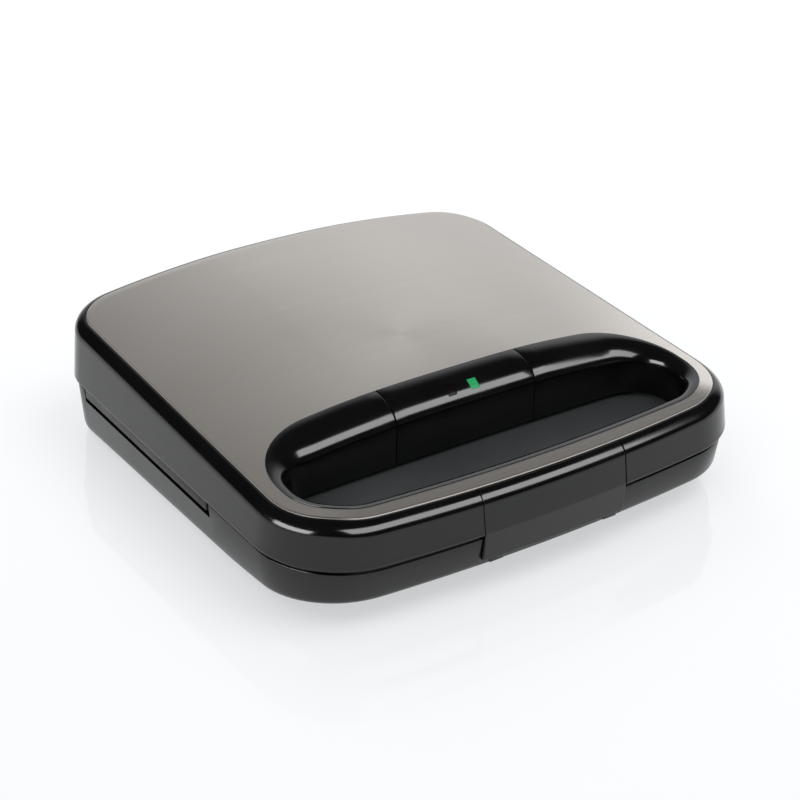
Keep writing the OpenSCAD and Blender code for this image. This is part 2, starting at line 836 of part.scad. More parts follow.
// Inside of the lid, stepped in at the top to keep the wall's thickness behind the rounded rim.
module lid_cavity() {
    intersection() {
        body_plan_prism(wall_t + 0.6);
        under_top(rim_lift - wall_t - rim_step);
    }
    intersection() {
        body_plan_prism(wall_t + 0.6 + rim_step);
        under_top(rim_lift - wall_t);
    }
}

module lid_shell() {
    color("#0d0d0f") difference() {
        union() {
            difference() {
                lid_outside(lid_low_z);
                lid_cavity();
            }
            lid_bosses();
            // pocket behind the latch clip
            intersection() {
                lid_outside(lid_low_z);
                latch_pocket(2.2);
            }
        }
        difference() {
            body_plan_prism(rim_w);
            under_top(-panel_t - 0.05);
        }
        slab(-1, big) well_plan(-fit_gap);
        latch_pocket(0);
        x_rod(clip_pin_dia / 2 + 0.03, -pocket_x - 1.8, pocket_x + 1.8, clip_pivot_y, clip_pivot_z);
        mirrored() for (p = lid_screw_xy) translate([p.x, p.y, 0]) cylinder(r = screw_r + 0.02, h = 44, $fn = 24);
    }
}

module lid_panel() {
    color("#a8a49e") difference() {
        intersection() {
            body_plan_prism(rim_w + 0.15);
            under_top();
        }
        under_top(-panel_t);
        slab(-1, big) well_plan(-fit_gap / 2);
    }
}

// Strip down each side that closes the gap beside the plates.
module skirt_plan(inset) {
    intersection() {
        body_plan(inset);
        translate([-big / 2, step_y + 1.5]) square([big, shoulder_y - step_y - 3.5]);
    }
}

module lid_frame() {
    plate_z = lid_low_z + fit_gap;
    top = plate_z + frame_t;
    color("#1b1b1d") difference() {
        union() {
            slab(plate_z, top) intersection() {
                body_plan(wall_t + 0.6 + fit_gap);
                translate([-big / 2, -big / 2]) square([big, big / 2 + hinge_y + 6]);
            }
            slab(skirt_low_z, plate_z - 0.5) skirt_plan(skirt_in);
            slab(skirt_low_z + 0.5, plate_z + 1) skirt_plan(wall_t + 1.2);
            plate_arms(plate_z + 1, upper_tab_z);
            mirrored() {
                x_rod(knuckle_r, knuckle_x0, knuckle_x0 + knuckle_w, hinge_y, hinge_z);
                block(knuckle_x0, knuckle_x0 + knuckle_w, hinge_y - 6.5, hinge_y + 5, hinge_z, plate_z + 1);
            }
        }
        slab(0, upper_face_z + flange_t + 0.6) rounded_plate(-1, 13);
        slab(0, top + 1) plate_opening(1);
        slab(0, big) well_hole(bezel_t + fit_gap);
        latch_pocket(2.2 + fit_gap);
        mirrored() x_rod(hinge_pin_dia / 2 + pin_gap, knuckle_x0 - 1, knuckle_x0 + knuckle_w + 1, hinge_y, hinge_z);
        mirrored() for (p = lid_screw_xy) translate([p.x, p.y, 0]) {
            cylinder(r = screw_r + 0.3, h = big, $fn = 24);
            cylinder(r = screw_head_r + 0.3, h = skirt_low_z + 2.6);
        }
    }
}

// One ring of the well's trumpet: upright at a = 0, flared out to the panel's edge at a = 90.
function flare_ring(a, grow, drop_by) =
    let (outer = well_ring(), inner = hole_ring(grow))
    [
        for (i = [0 : len(outer) - 1])
            let (
                o = outer[i],
                h = inner[i],
                p = h + (o - h) * 0.97 * (1 - cos(a)),
                drop = lip_base_drop + lip_drop_rate * norm(o - h)
            )
            [p.x, p.y, top_z(o, well_lift) - drop * (1 - sin(a)) - drop_by]
    ];

function well_edge_ring(lift) = [for (p = well_ring()) [p.x, p.y, top_z(p, lift)]];

// Thin-walled mouth of the handle well, open at the bottom.
module well_solid() {
    ring_loft(concat(
        [lift_ring(hole_ring(bezel_t), well_low_z)],
        [for (a = [0 : 22.5 : 67.5]) flare_ring(a, bezel_t, bezel_t)],
        [well_edge_ring(well_lift - bezel_t), well_edge_ring(well_lift)],
        [for (i = [0 : 6]) flare_ring(90 - 15 * i, 0, 0)],
        [lift_ring(hole_ring(), well_low_z)]
    ));
}

module cover_zone(w) {
    block(-w, w, well_in_y0 + 20, big, -1, big);
}

module well_bezel() {
    color("#0b0b0d") difference() {
        well_solid();
        cover_zone(cover_half_w + 0.15);
    }
}

module window_zone(x, grow = 0) {
    w = window_w / 2 + grow;
    block(x - w, x + w, window_y - window_d / 2 - grow, window_y + window_d / 2 + grow, 0, big);
}

module well_cover() {
    color("#0f0f11") difference() {
        intersection() {
            well_solid();
            cover_zone(cover_half_w - 0.15);
        }
        for (x = [-window_x, window_x]) window_zone(x, 0.06);
    }
}

module window(x) {
    intersection() {
        well_solid();
        window_zone(x);
    }
}

module green_window() {
    color("#35d66a") window(window_x);
}

module red_window() {
    color("#5a1512") window(-window_x);
}

module lamp_board() {
    z = lamp_board_z;
    color("#2f6b3c") {
        block(-15, 15, window_y - 2, well_back_y - 3, z, z + 1.6);
        mirrored() block(11, 14, window_y - 1, window_y + 3, lid_low_z + fit_gap + frame_t + 0.05, z + 0.1);
    }
}

module lamps() {
    color("#f2d9b0") mirrored() translate([window_x, window_y, lamp_board_z + 1.65]) {
        cylinder(r = 1.9, h = 9, $fn = 32);
        translate([0, 0, 9]) sphere(r = 1.85, $fn = 32);
    }
}

module upper_plate() {
    color("#2b2b2d") upper_side() cast_plate();
}

module upper_element() {
    color("#8f8c86") upper_side() heater();
}

module upper_element_clips() {
    color("#a5a29b") upper_side() saddles();
}

module upper_reflector() {
    z = upper_element_z + element_r + saddle_t + 0.4;
    r = pocket_w + 4;
    color("#c3c2be") difference() {
        block(-r, r, plate_y0 + 6, plate_y1 - 6, z, z + reflector_t);
        translate([0, plate_mid_y, 0]) cylinder(r = 14, h = big);
    }
    color("#c3c2be") for (sx = [-1, 1], sy = [-1, 1])
        z_rod(2, sx * (boss_x - 24), plate_mid_y + sy * (boss_dy - 18), slab_top_z + 0.05, z + 0.1);
}

module upper_plate_screws() {
    color("#b5b2aa") upper_side() plate_screws();
}

module thermostat() {
    color("#ded9cc") translate([0, plate_mid_y, slab_top_z + 0.05]) {
        cylinder(r = 8, h = 7);
        cylinder(r = 10, h = 1.5);
        block(-14, -5, -3.1, 3.1, 5.2, 6);
        block(5, 14, -3.1, 3.1, 5.2, 6);
    }
}

module thermal_fuse() {
    color("#b99a5a") translate([30, plate_mid_y, slab_top_z + 2.1]) rotate([0, 90, 0]) {
        cylinder(r = 2, h = 12, center = true, $fn = 32);
        cylinder(r = 0.6, h = 26, center = true, $fn = 24);
    }
}

module lid_harness() {
    z = upper_element_z + 0.4;
    y = window_y + 9;
    color("#d8d2c2") {
        y_rod(wire_r, 0, y - 0.3, plate_mid_y - 10.2, z);
        wire_turn(0, y, z - 2.6, 2.6, 90, 90);
    }
}

module lid_screws() {
    color("#8e8b84") mirrored() for (p = lid_screw_xy) translate([p.x, p.y, skirt_low_z + 0.7]) pan_head_screw(18);
}

// ---------------------------------------------------------------- latch

module latch_pin() {
    color("#c9c8c4") x_rod(clip_pin_dia / 2, -pocket_x - 1.6, pocket_x + 1.6, clip_pivot_y, clip_pivot_z);
}

// Torsion spring round the pin: one leg on the pocket's back wall, one behind the clip.
module latch_spring() {
    coil_r = clip_pin_dia / 2 + 0.65;
    leg = coil_r - 0.5;
    color("#b9b7b1") difference() {
        union() {
            x_rod(coil_r, -5, 5, clip_pivot_y, clip_pivot_z);
            y_rod(0.45, 4.4, clip_pivot_y, clip_slot_y - 0.1, clip_pivot_z - leg);
            z_rod(0.45, -4.4, clip_pivot_y - leg, clip_pivot_z - 8, clip_pivot_z);
        }
        x_rod(clip_pin_dia / 2 + 0.1, -6, 6, clip_pivot_y, clip_pivot_z);
    }
}

module latch_clip() {
    w = cover_half_w - 0.15;
    color("#101012") difference() {
        union() {
            difference() {
                intersection() {
                    lid_outside(clip_low_z, 0.8);
                    block(-w, w, -big, panel_front_y - 1.2, 0, big);
                }
                intersection() {
                    body_plan_prism(clip_t + 0.8);
                    under_top(rim_lift - clip_t);
                }
            }
            mirrored() {
                x_rod(3.4, latch_lug_x, latch_lug_x + latch_lug_w, clip_pivot_y, clip_pivot_z);
                block(latch_lug_x, latch_lug_x + latch_lug_w, front_y + 2.2, clip_pivot_y, clip_pivot_z - 3.4,
                    clip_pivot_z + 3.4);
                block(hook_x0, hook_x1, front_y + 1.8, front_y + catch_in - 0.4, clip_low_z - 1.8, clip_low_z + 1.5);
            }
        }
        x_rod(clip_pin_dia / 2 + pin_gap, -pocket_x, pocket_x, clip_pivot_y, clip_pivot_z);
    }
}

base_shell();
base_frame();
lower_plate();
lower_element();
lower_element_clips();
lower_reflector();
lower_plate_screws();
terminal_block();
cord_inlet();
base_screws();
front_feet();
rear_feet();
hinge_pins();
base_harness();
earth_tag();
lid_shell();
lid_panel();
lid_frame();
well_bezel();
well_cover();
green_window();
red_window();
lamp_board();
lamps();
upper_plate();
upper_element();
upper_element_clips();
upper_reflector();
upper_plate_screws();
thermostat();
thermal_fuse();
lid_harness();
lid_screws();
latch_pin();
latch_spring();
latch_clip();
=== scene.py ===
import bpy, bmesh, json, math
from math import sin, cos, sqrt, atan2, radians, pi
from mathutils import Matrix, Vector

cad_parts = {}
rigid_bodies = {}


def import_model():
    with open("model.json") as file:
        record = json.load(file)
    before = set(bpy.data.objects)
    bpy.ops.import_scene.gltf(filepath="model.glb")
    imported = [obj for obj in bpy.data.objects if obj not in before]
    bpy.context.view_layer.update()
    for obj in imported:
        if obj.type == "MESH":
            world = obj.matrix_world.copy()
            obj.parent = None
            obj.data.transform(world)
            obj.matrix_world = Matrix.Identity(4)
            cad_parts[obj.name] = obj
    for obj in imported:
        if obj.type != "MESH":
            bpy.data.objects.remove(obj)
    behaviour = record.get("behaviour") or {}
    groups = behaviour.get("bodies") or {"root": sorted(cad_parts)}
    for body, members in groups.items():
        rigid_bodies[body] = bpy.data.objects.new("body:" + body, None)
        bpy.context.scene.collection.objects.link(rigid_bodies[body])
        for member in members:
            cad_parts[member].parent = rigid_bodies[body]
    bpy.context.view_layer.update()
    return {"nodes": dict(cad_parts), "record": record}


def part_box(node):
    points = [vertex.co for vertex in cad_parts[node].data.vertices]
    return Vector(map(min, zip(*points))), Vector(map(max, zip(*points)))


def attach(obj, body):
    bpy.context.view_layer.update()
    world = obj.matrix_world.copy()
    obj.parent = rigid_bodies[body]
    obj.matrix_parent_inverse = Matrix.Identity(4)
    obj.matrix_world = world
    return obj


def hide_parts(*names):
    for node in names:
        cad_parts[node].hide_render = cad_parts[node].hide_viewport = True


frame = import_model()
nodes = frame["nodes"]
mm = 0.001
scene = bpy.context.scene
scene.view_settings.view_transform = "Standard"

# camera, at the photograph's angle

cameraSetup = {
    "azimuth": -34.292, "elevation": 28.687, "distance": 0.76488,
    "target": (-0.023869, -0.035662, 0.05), "roll": 0.8779, "focal": 1784.8 / 800 * 36,
}


def addCamera(setup):
    az, el, roll = radians(setup["azimuth"]), radians(setup["elevation"]), radians(setup["roll"])
    back = Vector((sin(az) * cos(el), -cos(az) * cos(el), sin(el)))
    right = (-back).cross(Vector((0, 0, 1))).normalized()
    up = right.cross(-back)
    right, up = cos(roll) * right + sin(roll) * up, cos(roll) * up - sin(roll) * right
    place = Vector(setup["target"]) + back * setup["distance"]
    data = bpy.data.cameras.new("camera")
    data.sensor_width, data.sensor_fit, data.lens = 36, "HORIZONTAL", setup["focal"]
    data.clip_start, data.clip_end = 0.01, 50
    obj = bpy.data.objects.new("camera", data)
    obj.matrix_world = Matrix((right, up, back)).transposed().to_4x4()
    obj.location = place
    scene.collection.objects.link(obj)
    scene.camera = obj


addCamera(cameraSetup)
print("camera set")

# materials: node helpers


def newMaterial(name):
    mat = bpy.data.materials.new(name)
    mat.use_nodes = True
    tree = mat.node_tree
    return mat, tree, tree.nodes["Principled BSDF"]


def link(tree, a, b):
    tree.links.new(a, b)


def objectPoints(tree, scale=(1, 1, 1)):
    coords = tree.nodes.new("ShaderNodeTexCoord")
    mapping = tree.nodes.new("ShaderNodeMapping")
    mapping.inputs["Scale"].default_value = scale
    link(tree, coords.outputs["Object"], mapping.inputs["Vector"])
    return mapping.outputs["Vector"]


def noise(tree, vector, scale, detail=3, rough=0.5):
    node = tree.nodes.new("ShaderNodeTexNoise")
    node.inputs["Scale"].default_value = scale
    node.inputs["Detail"].default_value = detail
    node.inputs["Roughness"].default_value = rough
    link(tree, vector, node.inputs["Vector"])
    return node.outputs["Fac"]


def span(tree, value, low, high, fromLow=0.0, fromHigh=1.0):
    node = tree.nodes.new("ShaderNodeMapRange")
    node.inputs["From Min"].default_value = fromLow
    node.inputs["From Max"].default_value = fromHigh
    node.inputs["To Min"].default_value = low
    node.inputs["To Max"].default_value = high
    link(tree, value, node.inputs["Value"])
    return node.outputs["Result"]


def tint(tree, value, dark, light, a=0.3, b=0.7):
    node = tree.nodes.new("ShaderNodeValToRGB")
    ramp = node.color_ramp.elements
    ramp[0].position, ramp[0].color = a, (*dark, 1)
    ramp[1].position, ramp[1].color = b, (*light, 1)
    link(tree, value, node.inputs["Fac"])
    return node.outputs["Color"]


def bump(tree, height, strength, distance, shader, before=None):
    node = tree.nodes.new("ShaderNodeBump")
    node.inputs["Strength"].default_value = strength
    node.inputs["Distance"].default_value = distance
    link(tree, height, node.inputs["Height"])
    if before:
        link(tree, before, node.inputs["Normal"])
    link(tree, node.outputs["Normal"], shader.inputs["Normal"])
    return node.outputs["Normal"]


def mouldedPlastic(name, dark, light, roughLow, roughHigh, grain, grainDepth, grainStrength):
    mat, tree, shader = newMaterial(name)
    points = objectPoints(tree)
    broad = noise(tree, points, 26, 3)
    fine = noise(tree, points, grain, 2)
    link(tree, tint(tree, broad, dark, light), shader.inputs["Base Color"])
    rough = span(tree, noise(tree, points, 60, 4), roughLow, roughHigh, 0.3, 0.7)
    link(tree, rough, shader.inputs["Roughness"])
    shader.inputs["IOR"].default_value = 1.5
    wave = bump(tree, broad, 0.05, 0.0002, shader)  # slow waviness of a moulded wall
    bump(tree, fine, grainStrength, grainDepth, shader, wave)
    return mat


def rolledMetal(name, dark, light, roughLow, roughHigh, stretch, along, strength):
    mat, tree, shader = newMaterial(name)
    streaks = noise(tree, objectPoints(tree, stretch), 1, 4, 0.6)
    cloud = noise(tree, objectPoints(tree), 9, 2)
    shader.inputs["Metallic"].default_value = 1
    shader.inputs["Anisotropic"].default_value = along
    link(tree, tint(tree, cloud, dark, light), shader.inputs["Base Color"])
    link(tree, span(tree, streaks, roughLow, roughHigh, 0.3, 0.7), shader.inputs["Roughness"])
    bump(tree, streaks, strength, 0.00002, shader)
    return mat


def speckled(name, dark, light, rough, grain, strength, depth):
    mat, tree, shader = newMaterial(name)
    points = objectPoints(tree)
    fine = noise(tree, points, grain, 3, 0.6)
    link(tree, tint(tree, fine, dark, light, 0.35, 0.72), shader.inputs["Base Color"])
    link(tree, span(tree, noise(tree, points, 45, 3), rough * 0.85, rough * 1.15), shader.inputs["Roughness"])
    bump(tree, fine, strength, depth, shader)
    return mat


def litLens(name, colour, glow, strength):
    mat, tree, shader = newMaterial(name)
    fine = noise(tree, objectPoints(tree), 500, 3)
    link(tree, tint(tree, fine, [c * 0.8 for c in colour], colour), shader.inputs["Base Color"])
    shader.inputs["Roughness"].default_value = 0.22
    shader.inputs["Emission Color"].default_value = (*glow, 1)
    shader.inputs["Emission Strength"].default_value = strength
    bump(tree, fine, 0.15, 0.00003, shader)
    return mat


# darkest and lightest colour, roughness range, grain's scale, depth in metres and strength
plastics = {
    "lid": ("glossBlack", (0.0022, 0.0022, 0.0025), (0.0040, 0.0040, 0.0046), 0.10, 0.17, 1800, 0.000006, 0.05),
    "base": ("satinBlack", (0.0030, 0.0030, 0.0034), (0.0052, 0.0052, 0.0058), 0.17, 0.25, 1500, 0.00001, 0.10),
    "frame": ("frameBlack", (0.006, 0.006, 0.007), (0.011, 0.011, 0.012), 0.34, 0.46, 1200, 0.00002, 0.22),
    "ledge": ("ledgeGrey", (0.038, 0.041, 0.042), (0.050, 0.054, 0.055), 0.36, 0.46, 1200, 0.00002, 0.2),
    "nylon": ("terminalNylon", (0.62, 0.59, 0.50), (0.70, 0.67, 0.58), 0.4, 0.55, 900, 0.00003, 0.3),
}
# darkest and lightest colour, roughness range, stretch of the streaks, anisotropy, strength of the streaks
metals = {
    "panel": ("brushedPanel", (0.575, 0.540, 0.495), (0.615, 0.580, 0.535), 0.27, 0.32, (10, 2600, 10), 0.3, 0.012),
    "tube": ("heaterTube", (0.24, 0.22, 0.20), (0.36, 0.34, 0.31), 0.35, 0.5, (600, 600, 600), 0.0, 0.12),
    "sheet": ("rolledSheet", (0.55, 0.55, 0.54), (0.66, 0.66, 0.65), 0.28, 0.42, (30, 1800, 30), 0.3, 0.12),
    "zinc": ("zincPlate", (0.48, 0.47, 0.44), (0.62, 0.61, 0.58), 0.25, 0.4, (900, 900, 900), 0.0, 0.2),
    "pin": ("groundSteel", (0.60, 0.60, 0.59), (0.70, 0.70, 0.69), 0.16, 0.28, (2600, 60, 60), 0.3, 0.12),
    "brass": ("tagBrass", (0.58, 0.42, 0.16), (0.70, 0.54, 0.24), 0.26, 0.4, (40, 1500, 40), 0.2, 0.12),
}
# darkest and lightest colour, roughness, grain's scale, strength and depth in metres
speckles = {
    "plate": ("nonStick", (0.012, 0.012, 0.013), (0.035, 0.035, 0.037), 0.42, 1300, 0.35, 0.00005),
    "rubber": ("footRubber", (0.010, 0.010, 0.010), (0.020, 0.020, 0.020), 0.72, 1600, 0.5, 0.00005),
    "board": ("boardResin", (0.03, 0.14, 0.06), (0.05, 0.20, 0.09), 0.4, 700, 0.2, 0.00004),
    "ceramic": ("ceramicBody", (0.70, 0.66, 0.57), (0.80, 0.77, 0.69), 0.5, 1100, 0.3, 0.00004),
}
# colour, glow's colour and strength
lenses = {
    "greenLens": ("greenLens", (0.01, 0.14, 0.05), (0.04, 0.62, 0.20), 0.34),
    "redLens": ("redLens", (0.006, 0.002, 0.002), (0.3, 0.02, 0.02), 0.0),
}
look = {}
makers = ((mouldedPlastic, plastics), (rolledMetal, metals), (speckled, speckles), (litLens, lenses))
for make, table in makers:
    for key, values in table.items():
        look[key] = make(*values)


def wovenSleeve():
    mat, tree, shader = newMaterial("wovenSleeve")
    wave = tree.nodes.new("ShaderNodeTexWave")
    wave.wave_type, wave.bands_direction = "BANDS", "DIAGONAL"
    wave.inputs["Scale"].default_value = 420
    wave.inputs["Distortion"].default_value = 1.5
    link(tree, objectPoints(tree), wave.inputs["Vector"])
    link(tree, tint(tree, wave.outputs["Fac"], (0.50, 0.45, 0.36), (0.74, 0.70, 0.60)), shader.inputs["Base Color"])
    shader.inputs["Roughness"].default_value = 0.75
    bump(tree, wave.outputs["Fac"], 0.6, 0.0001, shader)
    return mat


def lampGlass():
    mat, tree, shader = newMaterial("lampGlass")
    fine = noise(tree, objectPoints(tree), 400, 2)
    link(tree, tint(tree, fine, (0.85, 0.62, 0.45), (0.95, 0.76, 0.58)), shader.inputs["Base Color"])
    shader.inputs["Roughness"].default_value = 0.08
    shader.inputs["Transmission Weight"].default_value = 0.7
    bump(tree, fine, 0.1, 0.00002, shader)
    return mat


look["sleeve"] = wovenSleeve()
look["glass"] = lampGlass()
# every node by its finish
finishes = {
    "lid": "lid_shell latch_clip well_bezel well_cover", "base": "base_shell", "ledge": "base_frame",
    "frame": "lid_frame", "panel": "lid_panel", "plate": "lower_plate upper_plate", "tube": "lower_element upper_element",
    "sheet": "lower_element_clips upper_element_clips lower_reflector upper_reflector",
    "zinc": "lower_plate_screws upper_plate_screws base_screws lid_screws", "pin": "hinge_pins latch_pin latch_spring",
    "nylon": "terminal_block", "rubber": "cord_inlet front_feet rear_feet", "sleeve": "base_harness lid_harness",
    "brass": "earth_tag thermal_fuse", "greenLens": "green_window", "redLens": "red_window", "board": "lamp_board",
    "glass": "lamps", "ceramic": "thermostat",
}
nodeLook = {name: key for key, names in finishes.items() for name in names.split()}
for name, obj in nodes.items():
    obj.data.materials.clear()
    obj.data.materials.append(look[nodeLook[name]])
bodyOf = {n: b for b, names in frame["record"]["behaviour"]["bodies"].items() for n in names}
print("materials made")

# outlines, in millimetres, as the part's source has them

bodyShape = {
    "half": 118, "front": -117, "back": 117, "frontCorner": 40.5, "backCorner": 28, "frontBow": 815, "backBow": 1560,
}
wellShape = {
    "half": 104.5, "front": -103.2, "back": -35.2, "frontCorner": 27.3, "backCorner": 32.5,
    "frontBow": 1054, "backBow": 3372.8,
}
holeShape = {
    "half": 98, "front": -96.7, "back": -52.2, "frontCorner": 20.915, "backCorner": 17.8,
    "frontBow": 1054, "backBow": 3372.8,
}
lid = {
    "rimHeight": 52.8, "slope": 2.9, "archRise": 8, "archRadius": 771.3, "browRadius": 803.74, "soften": 1.0,
    "low": 29.2, "flare": 1.8, "rimRadius": 5.4, "rimDrop": 0.6, "wall": 3.0,
    "pocketBack": -106.8, "pocketWall": 2.2, "seatDrop": 0.85,
}
# distances from the middle at which the front and back edges have a column
frontMarks = [0, 8, 16, 24, 30, 36.8, 36.8, 39, 39, 46, 53, 60]
backMarks = [0, 3.74, 8.26, 16, 24, 30, 35.9, 36.15, 36.35, 36.65, 36.85, 37.1, 44, 52]


# Closed list of (x, y) round the shape: the right half from the front's middle to the back's, then the left.
def outline(shape, inset=0.0, bowInset=True):
    w, y0, y1 = shape["half"] - inset, shape["front"] + inset, shape["back"] - inset
    r0, r1 = shape["frontCorner"] - inset, shape["backCorner"] - inset
    b0 = shape["frontBow"] - inset
    b1 = shape["backBow"] - (inset if bowInset else 0)
    x0, x1, yc0, yc1 = w - r0, w - r1, y0 + b0, y1 - b1
    cy0 = yc0 - sqrt((b0 - r0) ** 2 - x0 * x0)
    cy1 = yc1 + sqrt((b1 - r1) ** 2 - x1 * x1)
    a0, a1 = atan2(cy0 - yc0, x0), atan2(cy1 - yc1, x1)
    half = [(x, yc0 - sqrt(b0 * b0 - x * x)) for x in frontMarks]
    end = b0 * cos(a0)
    for i in range(1, 7):
        x = frontMarks[-1] + (end - frontMarks[-1]) * i / 6
        half.append((x, yc0 - sqrt(b0 * b0 - x * x)))
    half += [(x0 + r0 * cos(a0 * (1 - i / 16)), cy0 + r0 * sin(a0 * (1 - i / 16))) for i in range(1, 17)]
    half += [(w, cy0 + (cy1 - cy0) * i / 12) for i in range(1, 13)]
    half += [(x1 + r1 * cos(a1 * i / 14), cy1 + r1 * sin(a1 * i / 14)) for i in range(1, 15)]
    end = b1 * cos(a1)
    for i in range(1, 6):
        x = end + (backMarks[-1] - end) * i / 6
        half.append((x, yc1 + sqrt(b1 * b1 - x * x)))
    half += [(x, yc1 + sqrt(b1 * b1 - x * x)) for x in reversed(backMarks)]
    return half + [(-x, y) for x, y in reversed(half[1:-1])]


def bodyRing(inset=0.0):
    return outline(bodyShape, inset)


def wellRing(inset=0.0):
    return outline(wellShape, inset, bowInset=False)


def holeRing(grow=0.0):
    shape = dict(holeShape)
    for key in ("half", "back", "frontCorner", "backCorner"):
        shape[key] += grow
    shape["front"] -= grow
    return outline(shape)


halfCount = len(bodyRing()) // 2


# Height of the metal panel, with its arch and brow meeting softly.
def topZ(x, y, lift=0.0):
    side = lid["archRise"] - lid["archRadius"] + sqrt((lid["archRadius"] + lift) ** 2 - x * x)
    brow = lid["archRise"] - lid["browRadius"] + sqrt((lid["browRadius"] + lift) ** 2 - min(y, 0) ** 2)
    k = lid["soften"]
    h = min(max(0.5 + 0.5 * (brow - side) / k, 0), 1)
    return lid["rimHeight"] + y * math.tan(radians(lid["slope"])) + brow * (1 - h) + side * h - k * h * (1 - h)


def mixRings(a, b, t):
    return [(p[0] + (q[0] - p[0]) * t, p[1] + (q[1] - p[1]) * t) for p, q in zip(a, b)]


# mesh helpers


def finishMesh(mesh, sharp=40, merge=0.004):
    bm = bmesh.new()
    bm.from_mesh(mesh)
    bmesh.ops.remove_doubles(bm, verts=bm.verts, dist=merge * mm)
    bmesh.ops.dissolve_degenerate(bm, edges=bm.edges, dist=0.001 * mm)
    bmesh.ops.recalc_face_normals(bm, faces=bm.faces)
    bm.to_mesh(mesh)
    bm.free()
    mesh.shade_smooth()
    mesh.set_sharp_from_angle(angle=radians(sharp))


def meshObject(name, points, faces, sharp=40, merge=0.004):
    mesh = bpy.data.meshes.new(name)
    mesh.from_pydata([(p[0] * mm, p[1] * mm, p[2] * mm) for p in points], [], faces)
    finishMesh(mesh, sharp, merge)
    obj = bpy.data.objects.new(name, mesh)
    scene.collection.objects.link(obj)
    return obj


# Faces between m closed rings of n points, the last ring joined back to the first where closed.
def ringFaces(n, m, closed=True):
    pairs = [(j * n, (j + 1) % m * n) for j in range(m if closed else m - 1)]
    return [(j + i, j + (i + 1) % n, t + (i + 1) % n, t + i) for j, t in pairs for i in range(n)]


def ringMesh(name, rings, sharp):
    return meshObject(name, [p for r in rings for p in r], ringFaces(len(rings[0]), len(rings)), sharp)


# Adds one modifier and applies it.
def modify(obj, kind, **values):
    mod = obj.modifiers.new(kind.lower(), kind)
    for key, value in values.items():
        setattr(mod, key, value)
    graph = bpy.context.evaluated_depsgraph_get()
    mesh = bpy.data.meshes.new_from_object(obj.evaluated_get(graph), depsgraph=graph)
    obj.modifiers.clear()
    old = obj.data
    obj.data = mesh
    bpy.data.meshes.remove(old)
    return obj


cut, add, keep = "DIFFERENCE", "UNION", "INTERSECT"


def combine(obj, other, how):
    modify(obj, "BOOLEAN", operation=how, object=other, solver="MANIFOLD")
    bpy.data.objects.remove(other)
    return obj


def smooth(obj, sharp):
    obj.data.shade_smooth()
    obj.data.set_sharp_from_angle(angle=radians(sharp))


def soften(obj, width, angle=40, sharp=40):
    modify(obj, "BEVEL", width=width * mm, segments=2, limit_method="ANGLE", angle_limit=radians(angle),
        use_clamp_overlap=True, miter_outer="MITER_ARC")
    smooth(obj, sharp)
    return obj


def join(target, *others):
    bm = bmesh.new()
    for o in (target, *others):
        bm.from_mesh(o.data)
    bm.to_mesh(target.data)
    bm.free()
    for o in others:
        bpy.data.objects.remove(o)
    return target


# The piece takes the node's place, body and finish.
def piece(obj, node):
    obj.data.materials.clear()
    obj.data.materials.append(look[nodeLook[node]])
    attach(obj, bodyOf[node])
    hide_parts(node)
    return obj


# lid shell: one swept wall, with the latch pocket cut into its front


def lidShell():
    # side, inset and height round the wall's lower edge, from inside to outside
    edge = [
        ("in", 3.0, 31), ("in", 3.0, 29.7), ("in", 2.85, 29.32), ("out", 2.6, 29.2), ("out", 0.45, 29.2),
        ("out", 0.12, 29.32), ("out", 0.0, 29.65), ("out", 0.03, 30.1),
    ]
    outCols, inCols = 5, 7  # columns from the front's middle that the latch pocket pushes back
    rings = []
    n = len(bodyRing())

    def clampPoint(i, x, y, z, side):
        k = i if i <= halfCount else n - i  # column number from the front's middle
        if side == "out" and k <= outCols:
            back = max(y, lid["pocketBack"])
            return (x, back, min(z, topZ(x, back) - lid["seatDrop"]))
        if side == "in" and k <= inCols:
            back = max(y, lid["pocketBack"] + lid["pocketWall"])
            return (x, back, min(z, topZ(x, back) - lid["wall"]))
        return (x, y, z)

    def addRing(plan, heights, side):
        rings.append([clampPoint(i, x, y, z, side) for i, ((x, y), z) in enumerate(zip(plan, heights))])

    # ring at a depth below the panel's surface
    def follow(plan, drop, side="out"):
        addRing(plan, [topZ(x, y) - drop for x, y in plan], side)

    for side, inset, z in edge:
        addRing(bodyRing(inset), [z] * n, side)
    wallIn, drop, r = lid["flare"], lid["rimDrop"], lid["rimRadius"]
    edgeTop = 29.65
    wallTop = [topZ(x, y) - drop - r for x, y in bodyRing(wallIn)]
    for t in (0.08, 0.3, 0.6, 0.9, 0.97):
        addRing(bodyRing(wallIn * t), [edgeTop + (z - edgeTop) * t for z in wallTop], "out")
    for k in range(0, 11):
        a = radians(9 * k)
        plan = bodyRing(min(wallIn + r * (1 - cos(a)), 6.95))
        addRing(plan, [topZ(x, y) - drop - r * (1 - sin(a)) for x, y in plan], "out")
    follow(bodyRing(7.1), 0.68)
    follow(bodyRing(7.2), lid["seatDrop"] + 0.25)
    seat, hole = bodyRing(7.6), wellRing(-0.3)
    for i in range(0, 11):
        follow(mixRings(seat, hole, i / 10), lid["seatDrop"])
    cavity = bodyRing(7.2)
    for i in range(0, 10):
        follow(mixRings(cavity, hole, 1 - i / 10), lid["wall"], "in")
    for k in range(0, 6):
        a = radians(90 - 18 * k)
        plan = bodyRing(7.2 - 3.0 * cos(a))
        addRing(plan, [topZ(x, y) - 6.0 + 3.0 * sin(a) for x, y in plan], "in")
    return piece(ringMesh("lidShell", rings, 38), "lid_shell")


lidShell()

# metal panel: thin sheet over the arch, with rolled edges

panel = {"inset": 7.35, "thickness": 0.8, "edge": 0.42, "wellGrow": 0.15}


